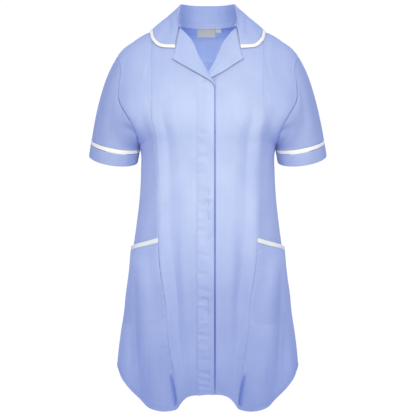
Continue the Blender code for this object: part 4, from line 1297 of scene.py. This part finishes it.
Lamp = namedtuple("Lamp", "place aim size spread power colour")
studio = {
    "floorZ": -1.35,
    "floorRadius": 2.2,
    "below": (0.45, 0.45, 0.55),    # light of the room below, above and behind the garment
    "above": (0.545, 0.628, 0.822),
    "behind": (1.03, 1.03, 1.03),
    "behindFrom": 0.86,
    "behindTo": 0.95,
    # the inner one is small, inside the bodice, and lights the inside of the neck
    "lamps": {
        "key": Lamp((0.0, -2.9, 0.32), (0.0, -0.1, -0.26), 0.7, 24.0, 0.93, (1.0, 0.914, 0.44)),
        "upper": Lamp((0.0, -2.5, 1.2), (0.0, -0.1, -0.26), 0.4, 24.0, 0.78, (1.0, 0.87, 0.35)),
        "inner": Lamp((0.0, -0.03, -0.16), (0.0, 0.09, -0.02), 0.08, 150.0, 0.085, (0.48, 0.74, 1.0)),
    },
    "cameraDistance": 3.0,
    "cameraHeightAngle": 4.0,
    "aim": (0.0005, 0.0, -0.368),
    "lens": 123.6,
}


def makeFloor():
    bm = bmesh.new()
    bmesh.ops.create_circle(bm, cap_ends=True, segments=96, radius=studio["floorRadius"])
    bmesh.ops.translate(bm, verts=bm.verts, vec=(0, 0, studio["floorZ"]))
    material, tree, shader = emptyMaterial("paleFloor")
    setUp(tree, shader, {"Base Color": (0.95, 0.95, 0.95, 1), "Roughness": 0.9, "Specular IOR Level": 0.1})
    finished("floor", bm, material)


def makeRoom():
    # a soft room, brighter overhead, with a white wall behind the garment
    world = bpy.data.worlds.new("studio")
    world.use_nodes = True
    tree = world.node_tree
    generated = nodeOf(tree, "ShaderNodeTexCoord").outputs["Generated"]
    axes = nodeOf(tree, "ShaderNodeSeparateXYZ", Vector=generated)
    height = nodeOf(tree, "ShaderNodeMapRange", Value=axes.outputs["Z"], **{"From Min": -1})
    wall = nodeOf(tree, "ShaderNodeMapRange", interpolation_type="SMOOTHSTEP", Value=axes.outputs["Y"],
                  **{"From Min": studio["behindFrom"], "From Max": studio["behindTo"]})
    colours = nodeOf(tree, "ShaderNodeValToRGB", Fac=height.outputs["Result"])
    ends = colours.color_ramp.elements
    ends[0].color, ends[1].color = (*studio["below"], 1), (*studio["above"], 1)
    both = nodeOf(tree, "ShaderNodeMixRGB", Fac=wall.outputs["Result"], Color1=colours.outputs["Color"],
                  Color2=(*studio["behind"], 1))
    setUp(tree, tree.nodes["Background"], {"Color": both.outputs["Color"]})
    bpy.context.scene.world = world


def makeLight(name, lamp):
    light = bpy.data.lights.new(name, "AREA")
    light.shape = "DISK"
    light.size, light.spread = lamp.size, math.radians(lamp.spread)
    light.energy, light.color = lamp.power, lamp.colour
    holder = bpy.data.objects.new(name, light)
    holder.location = lamp.place
    holder.rotation_euler = (Vector(lamp.aim) - Vector(lamp.place)).to_track_quat("-Z", "Y").to_euler()
    bpy.context.scene.collection.objects.link(holder)


def makeCamera():
    height = math.radians(studio["cameraHeightAngle"])
    reach = studio["cameraDistance"]
    camera = bpy.data.cameras.new("camera")
    camera.lens = studio["lens"]
    camera.sensor_width = 36
    view = bpy.data.objects.new("camera", camera)
    x, y, z = studio["aim"]
    view.location = (x, y - reach * math.cos(height), z + reach * math.sin(height))
    view.rotation_euler = (math.pi / 2 - height, 0, 0)
    bpy.context.scene.collection.objects.link(view)
    bpy.context.scene.camera = view


makeFloor()
makeRoom()
bpy.context.scene.view_settings.view_transform = "Standard"
for name, lamp in studio["lamps"].items():
    makeLight(name, lamp)
makeCamera()
print("studio ready")
